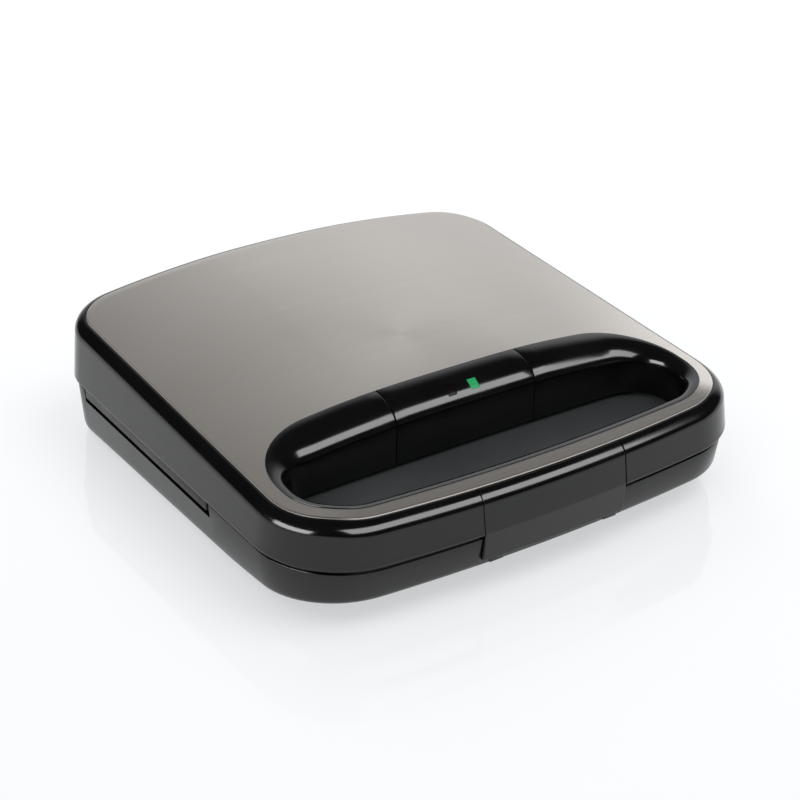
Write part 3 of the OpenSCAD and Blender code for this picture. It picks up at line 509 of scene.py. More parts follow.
def lidPanel():
    t, e = panel["thickness"], panel["edge"]
    rings = []

    def level(plan, drop):
        rings.append([(x, y, topZ(x, y) - drop) for x, y in plan])

    def outer(inset):
        return bodyRing(panel["inset"] + inset)

    def inner(inset):
        return wellRing(-panel["wellGrow"] + inset)

    bend = [(e * (1 - cos(radians(a))), e * (1 - sin(radians(a)))) for a in (90, 67.5, 45, 22.5, 0)]
    level(outer(0), t)
    for inset, drop in reversed(bend):
        level(outer(inset), drop)
    for i in range(1, 40):
        level(mixRings(outer(e), inner(e), i / 40), 0)
    for inset, drop in bend:
        level(inner(inset), drop)
    level(inner(0), t)
    for i in range(11, 0, -1):
        level(mixRings(outer(0), inner(0), i / 12), t)
    return piece(ringMesh("lidPanel", rings, 50), "lid_panel")


lidPanel()

# mouth of the handle well: trumpet, its centre cover and the two windows

well = {"thickness": 2.2, "lift": 0.3, "low": 29.8, "baseDrop": 2.5, "dropRate": 0.47, "reach": 0.97, "coverHalf": 36.5}
window = {"half": 2.2, "x": 6, "top": 31.3, "low": 54, "depth": 1.9, "rows": 8}  # angles round the trumpet's section
seamRound = {36.35: 0.2, 36.65: 0.2, 36.15: 0.05, 36.85: 0.05}  # how far each column beside a seam draws in
# angles of the section, on the visible side from the bottom up and on the underside from the top down
wellTop = [90, 84, 78, 72, 66, 60, 54, 48, 42, 36.5, 31.3, 26, 20, 14, 8, 3, 0]
wellUnder = [0, 12, 24, 31.3, 36.5, 42, 48, 54, 67.5]


# Place across and height of the trumpet's section at angle a, between the rim's point and the hole's.
def flarePoint(rim, hole, a):
    reach = well["reach"] * (1 - cos(radians(a)))
    drop = well["baseDrop"] + well["dropRate"] * math.dist(rim, hole)
    z = topZ(*rim) + well["lift"] - drop * (1 - sin(radians(a)))
    return (hole[0] + (rim[0] - hole[0]) * reach, hole[1] + (rim[1] - hole[1]) * reach, z)


def wellRings():
    rim, thick, lift = wellRing(), well["thickness"], well["lift"]
    holes = {grow: holeRing(grow) for grow in (0, thick)}

    def flare(a, grow):
        return [(x, y, z - grow) for x, y, z in (flarePoint(r, h, a) for r, h in zip(rim, holes[grow]))]

    def flat(plan, rise):
        return [(x, y, topZ(x, y) + rise) for x, y in plan]

    rings = [[(x, y, well["low"]) for x, y in holes[thick]]]
    rings += [flare(a, thick) for a in wellUnder]
    rings += [flat(rim, lift - thick), flat(rim, lift - 0.15), flat(wellRing(0.12), lift)]
    rings += [flare(a, 0) for a in wellTop]
    rings += [[(x, y, well["low"] + 0.4) for x, y in holes[0]], [(x, y, well["low"]) for x, y in holeRing(0.3)]]
    return roundSeams(rings)


# Rounds the edges on both sides of the seams between the cover and the bezel.
def roundSeams(rings):
    topStart = len(rings) - len(wellTop) - 2  # first ring of the visible side
    done = [list(r) for r in rings]
    for j in range(topStart, len(rings) - 1):
        for i, (x, y, z) in enumerate(rings[j]):
            depth = seamRound.get(round(abs(x), 2), 0) if y > -60 else 0
            if depth:
                a, b = rings[j - 1][i], rings[j + 1][i]
                size = math.hypot(b[1] - a[1], b[2] - a[2])
                done[j][i] = (x, y + depth * (a[2] - b[2]) / size, z - depth * (a[1] - b[1]) / size)
    return done


# Points and faces of the columns cols of the rings, closed at both ends. hole(j, i) leaves a face out.
def strip(rings, cols, hole=None):
    w, m, faces = len(cols), len(rings), []
    for j in range(m):
        t = (j + 1) % m
        for i in range(w - 1):
            if not (hole and hole(j, i)):
                faces.append((j * w + i, j * w + i + 1, t * w + i + 1, t * w + i))
    faces.append(tuple(j * w for j in range(m)))
    faces.append(tuple(j * w + w - 1 for j in reversed(range(m))))
    return [r[c] for r in rings for c in cols], faces


def wellPieces():
    rings = wellRings()
    n = len(rings[0])
    coverCols = [i for i in range(n) if abs(rings[0][i][0]) < well["coverHalf"] and rings[0][i][1] > -60]
    start = coverCols[-1] + 1
    bezelCols = [(start + i) % n for i in range(n - len(coverCols))]
    piece(meshObject("wellBezel", *strip(rings, bezelCols), 38), "well_bezel")

    # the windows' openings run between matching rings of the top and the underside
    xs = [rings[0][c][0] for c in coverCols]
    topStart = len(rings) - len(wellTop) - 2
    topA, topB = (topStart + wellTop.index(window[key]) for key in ("low", "top"))
    lowA, lowB = (1 + wellUnder.index(window[key]) for key in ("top", "low"))
    near, far = window["x"] - window["half"] - 0.1, window["x"] + window["half"] + 0.1
    gaps = [i for i, (a, b) in enumerate(zip(xs, xs[1:])) if near < abs(a + b) / 2 < far and abs(a - b) < 4.6]

    def hole(j, i):
        return i in gaps and (topA <= j < topB or lowA <= j < lowB)

    pts, faces = strip(rings, coverCols, hole)
    w = len(coverCols)
    section = list(range(topA, topB + 1)) + list(range(lowA, lowB + 1))
    for i in gaps:
        faces += [tuple(j * w + side for j in section) for side in (i, i + 1)]
        faces += [(j * w + i, j * w + i + 1, k * w + i + 1, k * w + i) for j, k in ((topA, lowB), (topB, lowA))]
    piece(meshObject("wellCover", pts, faces, 38), "well_cover")
    windowLens("green_window", "greenWindow", window["x"])
    windowLens("red_window", "redWindow", -window["x"])


# Lens that follows the cover's surface, a touch lower at its edges.
def windowLens(node, name, middle):
    rows = cols = window["rows"]
    slack = 0.003
    hole, rim = holeShape["back"] - slack, wellShape["back"] - slack
    dips, close = {0: 0.16, 1: 0.05}, {0: 0.06, rows: -0.06}  # how far the edges dip and draw in
    top = []
    for r in range(rows + 1):
        a = window["top"] + (window["low"] - window["top"]) * r / rows
        for c in range(cols + 1):
            x = middle - window["half"] + 2 * window["half"] * c / cols
            _, y, z = flarePoint((x, rim), (x, hole), a)
            top.append((x, y + close.get(r, 0), z - dips.get(min(r, rows - r, c, cols - c), 0.02)))
    q, count, faces = cols + 1, len(top), []
    for r in range(rows):
        for c in range(cols):
            a, b, d, e = r * q + c, r * q + c + 1, (r + 1) * q + c + 1, (r + 1) * q + c
            faces += [(a, b, d, e), (a + count, e + count, d + count, b + count)]
    edge = [c for c in range(q)] + [r * q + cols for r in range(1, q)]
    edge += [rows * q + c for c in range(cols - 1, -1, -1)] + [r * q for r in range(rows - 1, 0, -1)]
    faces += [(b, a, a + count, b + count) for a, b in zip(edge, edge[1:] + edge[:1])]
    low = [(x, y, z - window["depth"]) for x, y, z in top]
    piece(meshObject(name, top + low, faces, 35), node)


wellPieces()
print("lid pieces made")

# latch clip: front skin that wraps over the rim, with lugs and hooks inside

clip = {
    "half": 36.35, "low": 16.5, "lowIn": 0.8, "thickness": 2.4, "edge": 0.35, "bend": 1.6, "backIn": 7.1,
    "pivot": (-111.2, 40.2), "pinBore": 1.55, "lugRadius": 3.4, "lug": (24, 29),
    "hook": (26, 33), "hookY": (-115.2, -113.8), "hookZ": (14.7, 18),
}


# Cylinder along X, with small chamfers at its ends.
def tube(name, radius, x0, x1, y, z, sides=48, bore=None):
    c = min(0.25, radius * 0.2)
    prof = [(x0, radius - c), (x0 + c, radius), (x1 - c, radius), (x1, radius - c)]
    if bore:
        prof += [(x1, bore), (x0, bore)]
    turns = [2 * pi * i / sides for i in range(sides)]
    pts = [(x, y + r * cos(a), z + r * sin(a)) for x, r in prof for a in turns]
    faces = ringFaces(sides, len(prof), bool(bore))
    if not bore:
        faces += [tuple(range(sides)), tuple(len(pts) - sides + i for i in reversed(range(sides)))]
    return meshObject(name, pts, faces, 40)


def slab(name, x0, x1, y0, y1, z0, z1):
    pts = [(x, y, z) for z in (z0, z1) for y in (y0, y1) for x in (x0, x1)]
    faces = [(0, 2, 3, 1), (4, 5, 7, 6), (0, 1, 5, 4), (2, 6, 7, 3), (0, 4, 6, 2), (1, 3, 7, 5)]
    return meshObject(name, pts, faces, 30)


def latchClip():
    half, low, lowIn, thick, e = (clip[key] for key in ("half", "low", "lowIn", "thickness", "edge"))
    marks = [0, 4, 8, 12, 16, 20, 24, 28, 32, half - 0.45, half - 0.27, half - 0.07, half]
    roundIn = [0] * 11 + [0.07, 0.24]  # how far each column draws in at the ends
    xs = [-x for x in reversed(marks[1:])] + marks
    drawIn = list(reversed(roundIn[1:])) + roundIn
    bow, r, drop = bodyShape["frontBow"], lid["rimRadius"], lid["rimDrop"]
    rings = []

    def frontY(x, inset):
        return bodyShape["front"] + bow - sqrt((bow - inset) ** 2 - x * x)

    def upright(inset, z, outer=True):
        rings.append([(x, frontY(x, inset + (d if outer else 0)), z) for x, d in zip(xs, drawIn)])

    # ring whose places and heights come from across(x, d) and down(x, d), below the panel's surface
    def follow(across, down):
        places = [(x, frontY(x, across(x, d)), d) for x, d in zip(xs, drawIn)]
        rings.append([(x, y, topZ(x, y) - drop - down(x, d)) for x, y, d in places])

    upright(lowIn + thick - e, low, False)
    for inset, z in ((e + 0.15, 0), (e, 0), (0.1, 0.1), (-0.01, e), (-0.02, e + 0.2)):
        upright(lowIn + inset, low + z)
    for t in (0.25, 0.5, 0.75, 0.97, 1):
        upright(lowIn * (1 - t), low + (lid["low"] + 0.5 - low) * t)
    walls = [topZ(x, frontY(x, lid["flare"])) - drop - r for x in xs]
    start = 29.7
    for t in (0.03, 0.33, 0.66, 0.96):
        places = [(x, frontY(x, lid["flare"] * t + d)) for x, d in zip(xs, drawIn)]
        rings.append([(x, y, start + (z - start) * t) for (x, y), z in zip(places, walls)])
    for k in range(0, 10):
        a = radians(9.2 * k)
        follow(lambda x, d: lid["flare"] + r - (r - d) * cos(a), lambda x, d: r - (r - d) * sin(a))
    for inset, depth in ((6.86, 0.04), (7.04, 0.2), (clip["backIn"], 0.5), (clip["backIn"], thick - 0.1)):
        follow(lambda x, d: inset, lambda x, d: depth + (d if depth < 1 else 0))
    inner, bend = thick + 0.8, clip["bend"]
    for k in range(0, 5):
        a = radians(90 - 22.5 * k)
        follow(lambda x, d: inner + bend - bend * cos(a), lambda x, d: thick + bend - bend * sin(a))
    upright(inner, low + e, False)
    pts, faces = strip(rings, range(len(xs)))
    obj = meshObject("latchClip", pts, faces, 50)
    py, pz = clip["pivot"]
    extras = []
    for side in (-1, 1):
        a, b = sorted(side * x for x in clip["lug"])
        extras.append(tube("lug", clip["lugRadius"], a, b, py, pz, 40, clip["pinBore"]))
        web = slab("web", a + 0.01, b - 0.01, -114.1, py - 2.2, pz - 3, pz + 1.5)
        extras.append(soften(web, 0.2))
        a, b = sorted(side * x for x in clip["hook"])
        extras.append(soften(slab("hook", a, b, *clip["hookY"], *clip["hookZ"]), 0.3))
    join(obj, *extras)
    smooth(obj, 50)
    return piece(obj, "latch_clip")


latchClip()
print("clip made")

# base shell: drafted walls cut by the ledge, the ears and the hinge barrel

base = {
    "inset": 1.5, "low": 1.8, "slope": 1.6, "kick": -50, "kickSlope": 5, "wall": 2.4,
    "land": 28, "sideTop": 20.4, "step": -33, "clipHalf": 36.8, "catchHalf": 40.5,
    "shoulder": 85.5, "earX": 107.5, "earTop": 28.6, "backWall": 91.6,
    "hinge": (104, 19), "barrel": 10, "barrelHalf": 118.5, "duct": 7.6, "ductHalf": 70,
    "slot": 8.2, "slotX": (79.4, 91.6), "pinHole": 2.55, "pinX": (72, 98.5),
    "panHalf": 108, "panFront": -46, "trayHalf": 106, "trayFront": -44, "trayFloor": 3.0,
    "frontFoot": (98, -58), "rearFoot": (84, 76), "footHole": 3.1, "boss": 4.5, "screwHole": 1.8, "headHole": 3.5,
    "inletX": 58, "inletZ": 9.6,
}
far = 200  # beyond the body on every side


def underZ(y):
    slope, kickSlope = (math.tan(radians(base[key])) for key in ("slope", "kickSlope"))
    return base["low"] + (bodyShape["back"] - y) * slope + max(base["kick"] - y, 0) * (kickSlope - slope)


# Solid through rings, capped by strips between mirrored points.
def stack(name, rings, sharp=40):
    n, m = len(rings[0]), len(rings)
    pts = [p for r in rings for p in r]
    faces = ringFaces(n, m, False)
    top = (m - 1) * n
    for i in range(halfCount):
        q = [i, i + 1, (n - i - 1) % n, (n - i) % n]
        u = [v for k, v in enumerate(q) if v not in q[:k]]
        faces.append(tuple(u))
        faces.append(tuple(top + v for v in reversed(u)))
    return meshObject(name, pts, faces, sharp, 0.001)


def prism(name, plan, z0, z1):
    return stack(name, [[(x, y, z0) for x, y in plan], [(x, y, z1) for x, y in plan]])


# Everything above the underside, raised by lift.
def wedgeAbove(name, lift):
    ys = [300, base["kick"], -300]
    side = [(y, underZ(y) + lift) for y in ys] + [(-300, 400), (300, 400)]
    pts = [(x, y, z) for x in (-300, 300) for y, z in side]
    k = len(side)
    faces = [tuple(range(k)), tuple(k + i for i in reversed(range(k)))]
    return meshObject(name, pts, faces + ringFaces(k, 2, False), 20)


def upright(name, x, y, r, z0, z1, sides=40):
    turns = [2 * pi * i / sides for i in range(sides)]
    pts = [(x + r * cos(a), y + r * sin(a), z) for z in (z0, z1) for a in turns]
    faces = [tuple(reversed(range(sides))), tuple(sides + i for i in range(sides))]
    return meshObject(name, pts, faces + ringFaces(sides, 2, False), 40)


def mirroredSlab(side, x0, x1, y0, y1, z0, z1):
    a, b = sorted((side * x0, side * x1))
    return slab("cut", a, b, y0, y1, z0, z1)


screwSpots = {"base": [(108.6, 0), (108.6, 58), (72, -100)], "lid": [(108.6, 4), (108.6, 54)]}


# Height of a screw boss at y.
def bossTop(y):
    return (base["land"] if y < base["step"] else base["sideTop"]) - 6.4


# Outer shape: rounded lower edge, then the wall with a narrow step under the lid's edge, so the parting line
# reads as a groove.
def baseSolid():
    hy, hz = base["hinge"]
    foot = ((5, 0), (3.6, 0.25), (2.6, 0.9), (1.95, 1.8), (1.6, 2.8), (1.3, 5))
    rings = [[(x, y, underZ(y) + lift) for x, y in bodyRing(base["inset"] + inset)] for inset, lift in foot]
    for inset, z in ((0, 26.6), (0.15, 26.9), (1.1, 26.95), (1.1, 30)):
        rings.append([(x, y, z) for x, y in bodyRing(base["inset"] + inset)])
    walls = stack("baseShell", rings, 35)
    room = slab("room", -far, far, -far, hy + 4, -2, base["sideTop"])
    combine(room, slab("cut", -far - 1, far + 1, -far - 0.5, base["step"], -2.5, base["land"]), add)
    for s in (1, -1):
        combine(room, mirroredSlab(s, base["earX"], far + 2, base["shoulder"], hy, -2.2, base["earTop"]), add)
    combine(room, tube("rod", base["barrel"], -base["barrelHalf"], base["barrelHalf"], hy, hz, 96), add)
    return combine(walls, room, keep)


def hollowBase(walls):
    hollow = prism("hollow", bodyRing(base["inset"] + 3.0), -1, 60)
    combine(hollow, wedgeAbove("above", base["wall"]), keep)
    space = slab("space", -far, far, -far, base["backWall"], -1, base["sideTop"] + 0.1)
    combine(space, slab("cut", -far - 1, far + 1, -far - 1, base["step"] + 1, -2, 80), add)
    for s in (1, -1):
        ear = (base["earX"] + base["wall"], far + 3, base["shoulder"] + base["wall"], base["backWall"] - 0.1)
        combine(space, mirroredSlab(s, *ear, -1.5, base["earTop"] - base["wall"]), add)
    combine(hollow, space, keep)
    combine(walls, hollow, cut)


# Wall behind the latch clip, pan under the plate, and the screws' bosses.
def addInnerWalls(walls):
    catch = prism("catch", bodyRing(4.2), 0, base["land"])
    combine(catch, prism("inner", bodyRing(7), -1, 60), cut)
    combine(catch, slab("cut", -base["catchHalf"], base["catchHalf"], -far, 0, 0.1, 60), keep)
    combine(catch, wedgeAbove("above", 1), keep)
    combine(walls, catch, add)
    front, back = base["panFront"], base["hinge"][0] + 4
    pan = slab("pan", -base["panHalf"], base["panHalf"], front, back, base["low"], underZ(front) + base["wall"])
    combine(pan, prism("plan", bodyRing(9.5), -1, 60), keep)
    combine(walls, pan, add)
    for s in (1, -1):
        for x, y in screwSpots["base"]:
            combine(walls, upright("boss", s * x, y, base["boss"], underZ(y) + 0.5, bossTop(y)), add)


# Tray under the plate, the clip's recess, the wiring duct and the hinge, screw, foot and inlet holes.
def cutOpenings(walls):
    hy, hz = base["hinge"]
    tray = slab("tray", -base["trayHalf"], base["trayHalf"], base["trayFront"], base["backWall"], base["trayFloor"], 60)
    combine(walls, tray, cut)
    recess = slab("front", -base["clipHalf"], base["clipHalf"], -far, 0, -1, 60)
    combine(recess, prism("plan", bodyRing(3.6), -2, 70), cut)
    combine(walls, recess, cut)
    half = base["ductHalf"]
    combine(walls, tube("duct", base["duct"], -half, half, hy, hz, 64), cut)
    combine(walls, slab("duct", -half, half, hy - base["duct"], 105.6, 4.2, hz), cut)
    combine(walls, slab("duct", -base["inletX"], -42, 90.6, hy, 6.2, 15), cut)
    r = base["slot"]  # round the lid's arms
    for s in (1, -1):
        a, b = sorted(s * x for x in base["slotX"])
        combine(walls, tube("slot", r, a, b, hy, hz, 64), cut)
        combine(walls, slab("slot", a, b, hy - r, far, hz, 80), cut)
        combine(walls, slab("slot", a, b, hy, far, hz - r, 80), cut)
        a, b = sorted(s * x for x in base["pinX"])
        combine(walls, tube("bore", base["pinHole"], a, b, hy, hz, 40), cut)
        for x, y in screwSpots["base"]:
            combine(walls, upright("hole", s * x, y, base["screwHole"], -1, 60, 24), cut)
            combine(walls, upright("hole", s * x, y, base["headHole"], -1, underZ(y) + base["wall"]), cut)
        for (x, y), top in ((base["frontFoot"], 56), (base["rearFoot"], 4.0)):
            combine(walls, upright("hole", s * x, y, base["footHole"], 0, top), cut)
    for radius, start in ((4.6, 0), (6.3, 108)):  # the inlet's bore and its wider recess
        bore = tube("bore", radius, start, 400, 0, 0, 48)
        bore.data.transform(Matrix.Rotation(pi / 2, 4, "Z"))
        bore.data.transform(Matrix.Translation((base["inletX"] * mm, 0, base["inletZ"] * mm)))
        combine(walls, bore, cut)


def baseShell():
    walls = baseSolid()
    hollowBase(walls)
    addInnerWalls(walls)
    cutOpenings(walls)
    finishMesh(walls.data, 35, 0.002)
    return piece(walls, "base_shell")


baseShell()
print("base shell made")

# other CAD nodes: the same solids with their edges rounded

rounded = {
    "base_frame": 0.35, "lid_frame": 0.35, "lower_plate": 0.5, "upper_plate": 0.5, "lower_element_clips": 0.12,
    "upper_element_clips": 0.12, "lower_reflector": 0.1, "upper_reflector": 0.1, "terminal_block": 0.4,
    "cord_inlet": 0.3, "front_feet": 0.3, "rear_feet": 0.3, "hinge_pins": 0.25, "earth_tag": 0.12, "lamp_board": 0.15,
    "thermostat": 0.3, "thermal_fuse": 0.2, "latch_pin": 0.2, "lower_element": 0.15, "upper_element": 0.15,
}


def roundedCopy(node, width):
    first, *rest = node.split("_")
    name = first + "".join(word.capitalize() for word in rest)
    obj = bpy.data.objects.new(name, nodes[node].data.copy())
    scene.collection.objects.link(obj)
    bm = bmesh.new()
    bm.from_mesh(obj.data)
    bmesh.ops.remove_doubles(bm, verts=bm.verts, dist=0.002 * mm)
    bmesh.ops.dissolve_limit(bm, angle_limit=radians(0.6), verts=bm.verts, edges=bm.edges)
    bm.to_mesh(obj.data)
    bm.free()
    soften(obj, width, 50, 32)
    return piece(obj, node)


for node, width in rounded.items():
    roundedCopy(node, width)
print("other pieces made")

# screws: one screw, set at each spot by a small node tree

screw = {"headRadius": 3.2, "headHeight": 1.8, "shank": 1.5, "pitch": 1.1, "sides": 32}


def screwMesh(length):
    sides, hr, hh = screw["sides"], screw["headRadius"], screw["headHeight"]
    root, crest = screw["shank"] * 0.8, screw["shank"] * 0.99
    # radius and depth below the head's top, from the recess to the tip
    prof = [(0.9, 0.9), (1.2, 0.75), (1.5, 0.12), (2.3, 0.06), (2.9, 0.35), (hr, 0.9), (hr, hh - 0.15), (hr - 0.15, hh)]
    prof.append((root, hh))
    z = hh + 0.4
    while z < length - 1.4:
        prof += [(root, z), (crest, z + 0.35), (root, z + 0.7)]
        z += screw["pitch"]
    prof += [(screw["shank"] * 0.6, length - 0.5), (0.2, length)]
    pts = []
    for r, z in prof:
        for i in range(sides):
            a = 2 * pi * i / sides
            inner = r <= 1.6 and z < 1  # cross recess
            rr = r * (0.55 + 0.45 * abs(cos(2 * a)) ** 3) if inner else r
            pts.append((rr * cos(a), rr * sin(a), z))
    faces = ringFaces(sides, len(prof), False)
    faces += [tuple(reversed(range(sides))), tuple(len(pts) - sides + i for i in range(sides))]
    return meshObject("oneScrew", pts, faces, 30)


def placeTree():
    tree = bpy.data.node_groups.new("placeScrews", "GeometryNodeTree")
    face = tree.interface
    face.new_socket("Geometry", in_out="INPUT", socket_type="NodeSocketGeometry")
    sockets = {
        "part": face.new_socket("Screw", in_out="INPUT", socket_type="NodeSocketObject").identifier,
        "finish": face.new_socket("Finish", in_out="INPUT", socket_type="NodeSocketMaterial").identifier,
        "turn": face.new_socket("Turn", in_out="INPUT", socket_type="NodeSocketFloat").identifier,
        "flip": face.new_socket("Flip", in_out="INPUT", socket_type="NodeSocketFloat").identifier,
        "seed": face.new_socket("Seed", in_out="INPUT", socket_type="NodeSocketInt").identifier,
    }
    face.new_socket("Geometry", in_out="OUTPUT", socket_type="NodeSocketGeometry")
    new = tree.nodes.new
    start, end = new("NodeGroupInput"), new("NodeGroupOutput")
    info, spread = new("GeometryNodeObjectInfo"), new("GeometryNodeInstanceOnPoints")
    real, finish = new("GeometryNodeRealizeInstances"), new("GeometryNodeSetMaterial")
    chance, mixAngle = new("FunctionNodeRandomValue"), new("ShaderNodeCombineXYZ")
    wire = tree.links.new
    wire(start.outputs["Geometry"], spread.inputs["Points"])
    wire(start.outputs["Screw"], info.inputs["Object"])
    wire(info.outputs["Geometry"], spread.inputs["Instance"])
    wire(start.outputs["Turn"], chance.inputs[3])
    wire(start.outputs["Seed"], chance.inputs["Seed"])
    wire(chance.outputs[1], mixAngle.inputs["Z"])
    wire(start.outputs["Flip"], mixAngle.inputs["X"])
    wire(mixAngle.outputs[0], spread.inputs["Rotation"])
    wire(spread.outputs["Instances"], real.inputs["Geometry"])
    wire(real.outputs["Geometry"], finish.inputs["Geometry"])
    wire(start.outputs["Finish"], finish.inputs["Material"])
    wire(finish.outputs["Geometry"], end.inputs["Geometry"])
    return tree, sockets


screwTree, screwSockets = placeTree()


def screwSet(name, node, length, spots, flip=0.0, seed=1):
    one = screwMesh(length)
    mesh = bpy.data.meshes.new(name)
    mesh.from_pydata([(x * mm, y * mm, z * mm) for x, y, z in spots], [], [])
    obj = bpy.data.objects.new(name, mesh)
    scene.collection.objects.link(obj)
    mod = obj.modifiers.new("place", "NODES")
    mod.node_group = screwTree
    mod[screwSockets["part"]] = one
    mod[screwSockets["finish"]] = look["zinc"]
    mod[screwSockets["turn"]] = 2 * pi
    mod[screwSockets["flip"]] = flip
    mod[screwSockets["seed"]] = seed
    graph = bpy.context.evaluated_depsgraph_get()
    result = bpy.data.meshes.new_from_object(obj.evaluated_get(graph), depsgraph=graph)
    obj.modifiers.clear()
    obj.data = result
    bpy.data.objects.remove(one)
    smooth(obj, 30)
    return piece(obj, node)


plateScrews = {"x": 88, "middle": 30.5, "apart": 45}


def screwSpan(node):
    low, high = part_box(node)
    return low.z / mm, high.z / mm


def plateSpots(z):
    x, y, d = plateScrews["x"], plateScrews["middle"], plateScrews["apart"]
    return [(sx * x, y + sy * d, z) for sx in (-1, 1) for sy in (-1, 1)]


screwSet("lidScrews", "lid_screws", 18, [(s * x, y, 24.3) for s in (1, -1) for x, y in screwSpots["lid"]], seed=3)
low, high = screwSpan("lower_plate_screws")
screwSet("lowerPlateScrews", "lower_plate_screws", high - low, plateSpots(low), seed=5)
low, high = screwSpan("upper_plate_screws")
screwSet("upperPlateScrews", "upper_plate_screws", high - low, plateSpots(high), pi, 7)


# The base's screws differ in length, so each pair is its own set, joined after.
def baseScrews():
    made = []
    for k, (x, y) in enumerate(screwSpots["base"]):
        one = screwMesh(bossTop(y) + 4 - underZ(y) - 1)
        for s in (1, -1):
            copy = bpy.data.objects.new("baseScrews", one.data.copy())
            scene.collection.objects.link(copy)
            place = Matrix.Translation((s * x * mm, y * mm, (underZ(y) + 0.5) * mm))
            copy.data.transform(place @ Matrix.Rotation(0.7 * k + s, 4, "Z"))
            made.append(copy)
        bpy.data.objects.remove(one)
    join(*made)
    smooth(made[0], 30)
    return piece(made[0], "base_screws")


baseScrews()
print("screws made")

# floor, backdrop and light

studio = {"floorSize": 24, "floorGlow": 0.56, "floorTone": 0.40, "domeRadius": 9, "world": 0.55, "skyAsSeen": 1.0}
backdrop = {
    "towards": (0.62, 0.78), "edgeLow": 0.66, "edgeHigh": 0.85, "low": 0.55, "high": 0.76, "topLevel": 0.25,
    "strength": 0.84, "dark": 0.025,
}
softBox = {"towards": (0.214, -0.728, 0.66), "halfWidth": 0.50, "halfHeight": 0.25, "soft": 0.06, "strength": 1.3}


# One maths node on values or sockets.
def calc(tree, kind, *values):
    node = tree.nodes.new("ShaderNodeMath")
    node.operation = kind
    for socket, value in zip(node.inputs, values):
        if isinstance(value, (int, float)):
            socket.default_value = value
        else:
            link(tree, value, socket)
    return node.outputs[0]


def floor():
    mesh = bpy.data.meshes.new("floor")
    s = studio["floorSize"] / 2
    mesh.from_pydata([(-s, -s, 0), (s, -s, 0), (s, s, 0), (-s, s, 0)], [], [(0, 1, 2, 3)])
    obj = bpy.data.objects.new("floor", mesh)
    scene.collection.objects.link(obj)
    mat, tree, shader = newMaterial("paleFloor")
    shader.inputs["Base Color"].default_value = (studio["floorTone"],) * 3 + (1,)
    shader.inputs["Roughness"].default_value = 0.06
    shader.inputs["IOR"].default_value = 1.45
    # it glows for the camera and for reflections, and doesn't light the object
    path = tree.nodes.new("ShaderNodeLightPath")
    seen = path.outputs["Is Camera Ray"]
    for kind in ("Is Glossy Ray", "Is Transmission Ray"):
        seen = calc(tree, "MAXIMUM", seen, path.outputs[kind])
    glow = calc(tree, "MULTIPLY", seen, studio["floorGlow"])
    shader.inputs["Emission Color"].default_value = (0.97, 0.985, 1, 1)
    link(tree, glow, shader.inputs["Emission Strength"])
    obj.data.materials.append(mat)


# Studio walls as reflections see them: dark, with a bright backdrop and a soft box overhead.
def dome():
    bm = bmesh.new()
    bmesh.ops.create_uvsphere(bm, u_segments=96, v_segments=48, radius=studio["domeRadius"])
    bmesh.ops.delete(bm, geom=[f for f in bm.faces if f.calc_center_median().z < -0.2], context="FACES")
    mesh = bpy.data.meshes.new("studioDome")
    bm.to_mesh(mesh)
    bm.free()
    obj = bpy.data.objects.new("studioDome", mesh)
    scene.collection.objects.link(obj)
    mat = bpy.data.materials.new("studioDome")
    mat.use_nodes = True
    tree = mat.node_tree
    tree.nodes.clear()
    out, glow = tree.nodes.new("ShaderNodeOutputMaterial"), tree.nodes.new("ShaderNodeEmission")
    link(tree, glow.outputs[0], out.inputs["Surface"])
    coords, split = tree.nodes.new("ShaderNodeTexCoord"), tree.nodes.new("ShaderNodeSeparateXYZ")
    unit = tree.nodes.new("ShaderNodeVectorMath")
    unit.operation = "NORMALIZE"
    link(tree, coords.outputs["Object"], unit.inputs[0])
    link(tree, unit.outputs[0], split.inputs[0])

    def along(axis):
        dot = tree.nodes.new("ShaderNodeVectorMath")
        dot.operation = "DOT_PRODUCT"
        link(tree, unit.outputs[0], dot.inputs[0])
        dot.inputs[1].default_value = axis
        return dot.outputs["Value"]

    # backdrop at the back right: brightest low, fading upwards and to the left
    sideX, sideY = (calc(tree, "MULTIPLY", split.outputs[axis], part) for axis, part in zip("XY", backdrop["towards"]))
    across = span(tree, calc(tree, "ADD", sideX, sideY), 0.0, 1.0, backdrop["edgeLow"], backdrop["edgeHigh"])
    height = span(tree, split.outputs["Z"], 1.0, backdrop["topLevel"], backdrop["low"], backdrop["high"])
    light = calc(tree, "MULTIPLY", calc(tree, "MULTIPLY", across, height), backdrop["strength"])
    light = calc(tree, "ADD", light, backdrop["dark"])
    # soft box: a rounded-off rectangle round its direction
    centre = Vector(softBox["towards"]).normalized()
    sideways = centre.cross(Vector((0, 0, 1))).normalized()
    box = span(tree, along(centre), 0, 1, 0.0, 0.05)
    for axis, half in ((sideways, softBox["halfWidth"]), (sideways.cross(centre), softBox["halfHeight"])):
        reach = calc(tree, "ABSOLUTE", along(axis))
        box = calc(tree, "MULTIPLY", box, span(tree, reach, 1, 0, half - softBox["soft"], half + softBox["soft"]))
    light = calc(tree, "ADD", light, calc(tree, "MULTIPLY", box, softBox["strength"]))
    glow.inputs["Color"].default_value = (0.96, 0.97, 1, 1)
    link(tree, light, glow.inputs["Strength"])
    mesh.materials.append(mat)
    for kind in ("camera", "diffuse", "shadow", "transmission", "volume_scatter"):
        setattr(obj, "visible_" + kind, False)


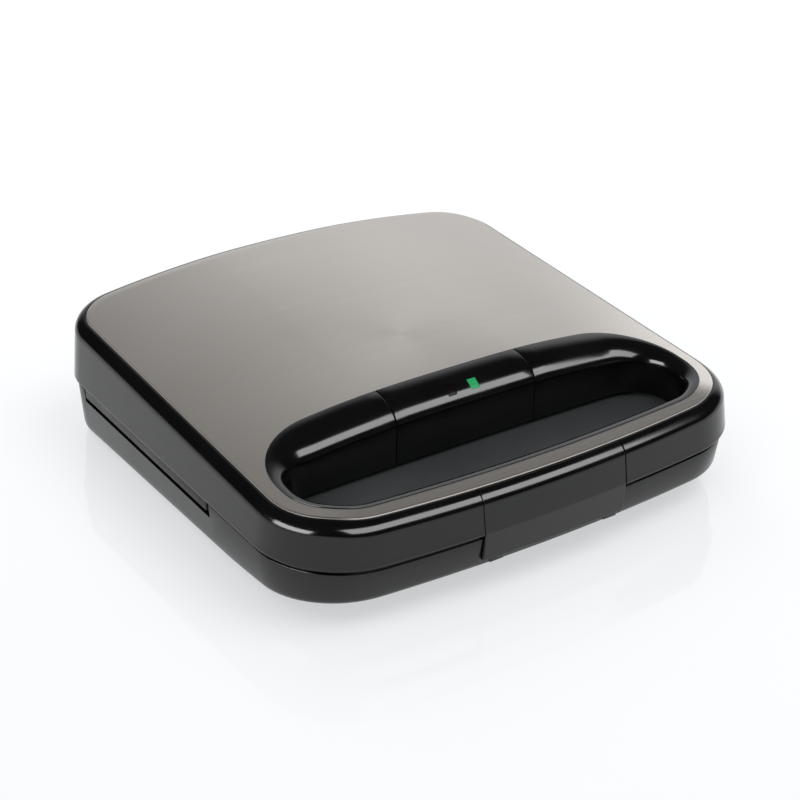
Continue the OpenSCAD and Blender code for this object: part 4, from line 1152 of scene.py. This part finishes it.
# Lamp aimed at the object. With onlyOn, it shows as a reflection in those pieces alone.
def areaLight(name, place, size, power, onlyOn=None, high=None):
    data = bpy.data.lights.new(name, "AREA")
    data.shape, data.size, data.energy = ("RECTANGLE" if high else "DISK"), size, power
    if high:
        data.size_y = high
    obj = bpy.data.objects.new(name, data)
    obj.location = place
    obj.rotation_euler = (-Vector(place)).to_track_quat("-Z", "Y").to_euler()
    obj.visible_glossy, obj.visible_diffuse = bool(onlyOn), not onlyOn
    scene.collection.objects.link(obj)
    if onlyOn:
        group = bpy.data.collections.new(name + "Sees")
        for other in scene.objects:
            if other.type == "MESH" and other.data.materials and other.data.materials[0] in onlyOn:
                group.objects.link(other)
        obj.light_linking.receiver_collection = group


floor()
dome()
# name, place, size and power in watts
areaLight("keyLight", (0.6, -0.7, 1.7), 1.4, 14)
areaLight("fillLight", (-1.3, -0.4, 1.4), 1.6, 9)
areaLight("backLight", (0.2, 1.6, 1.3), 1.4, 8)
blacks = [look["lid"], look["base"]]
areaLight("sideStrip", (-2.8, -0.1, 0.8), 2.2, 78, blacks, 1.1)
areaLight("frontStrip", (0.64, -2.18, 1.98), 3.3, 88, blacks, 1.5)
# place and power of the cards that only the metal panel sees, so it isn't dark from any side
cards = [
    ((-1.5, 1.3, 0.55), 4.5), ((-2.0, -0.6, 0.55), 4.5), ((0.2, -2.0, 0.55), 4.5), ((1.8, -1.0, 0.55), 4.5),
    ((2.0, 0.5, 0.55), 4.5), ((0.35, 1.35, 1.15), 0.7), ((0.3, 0.9, 1.6), 0.65),
]
for k, (place, power) in enumerate(cards):
    areaLight("card%d" % k, place, 1.9, power, [look["panel"]], 1.0)
world = bpy.data.worlds.new("studioWorld")
scene.world = world
world.use_nodes = True
sky = world.node_tree.nodes["Background"]
sky.inputs["Color"].default_value = (0.97, 0.98, 1, 1)
path = world.node_tree.nodes.new("ShaderNodeLightPath")
level = span(world.node_tree, path.outputs["Is Camera Ray"], studio["world"], studio["skyAsSeen"])
link(world.node_tree, level, sky.inputs["Strength"])
print("studio set")
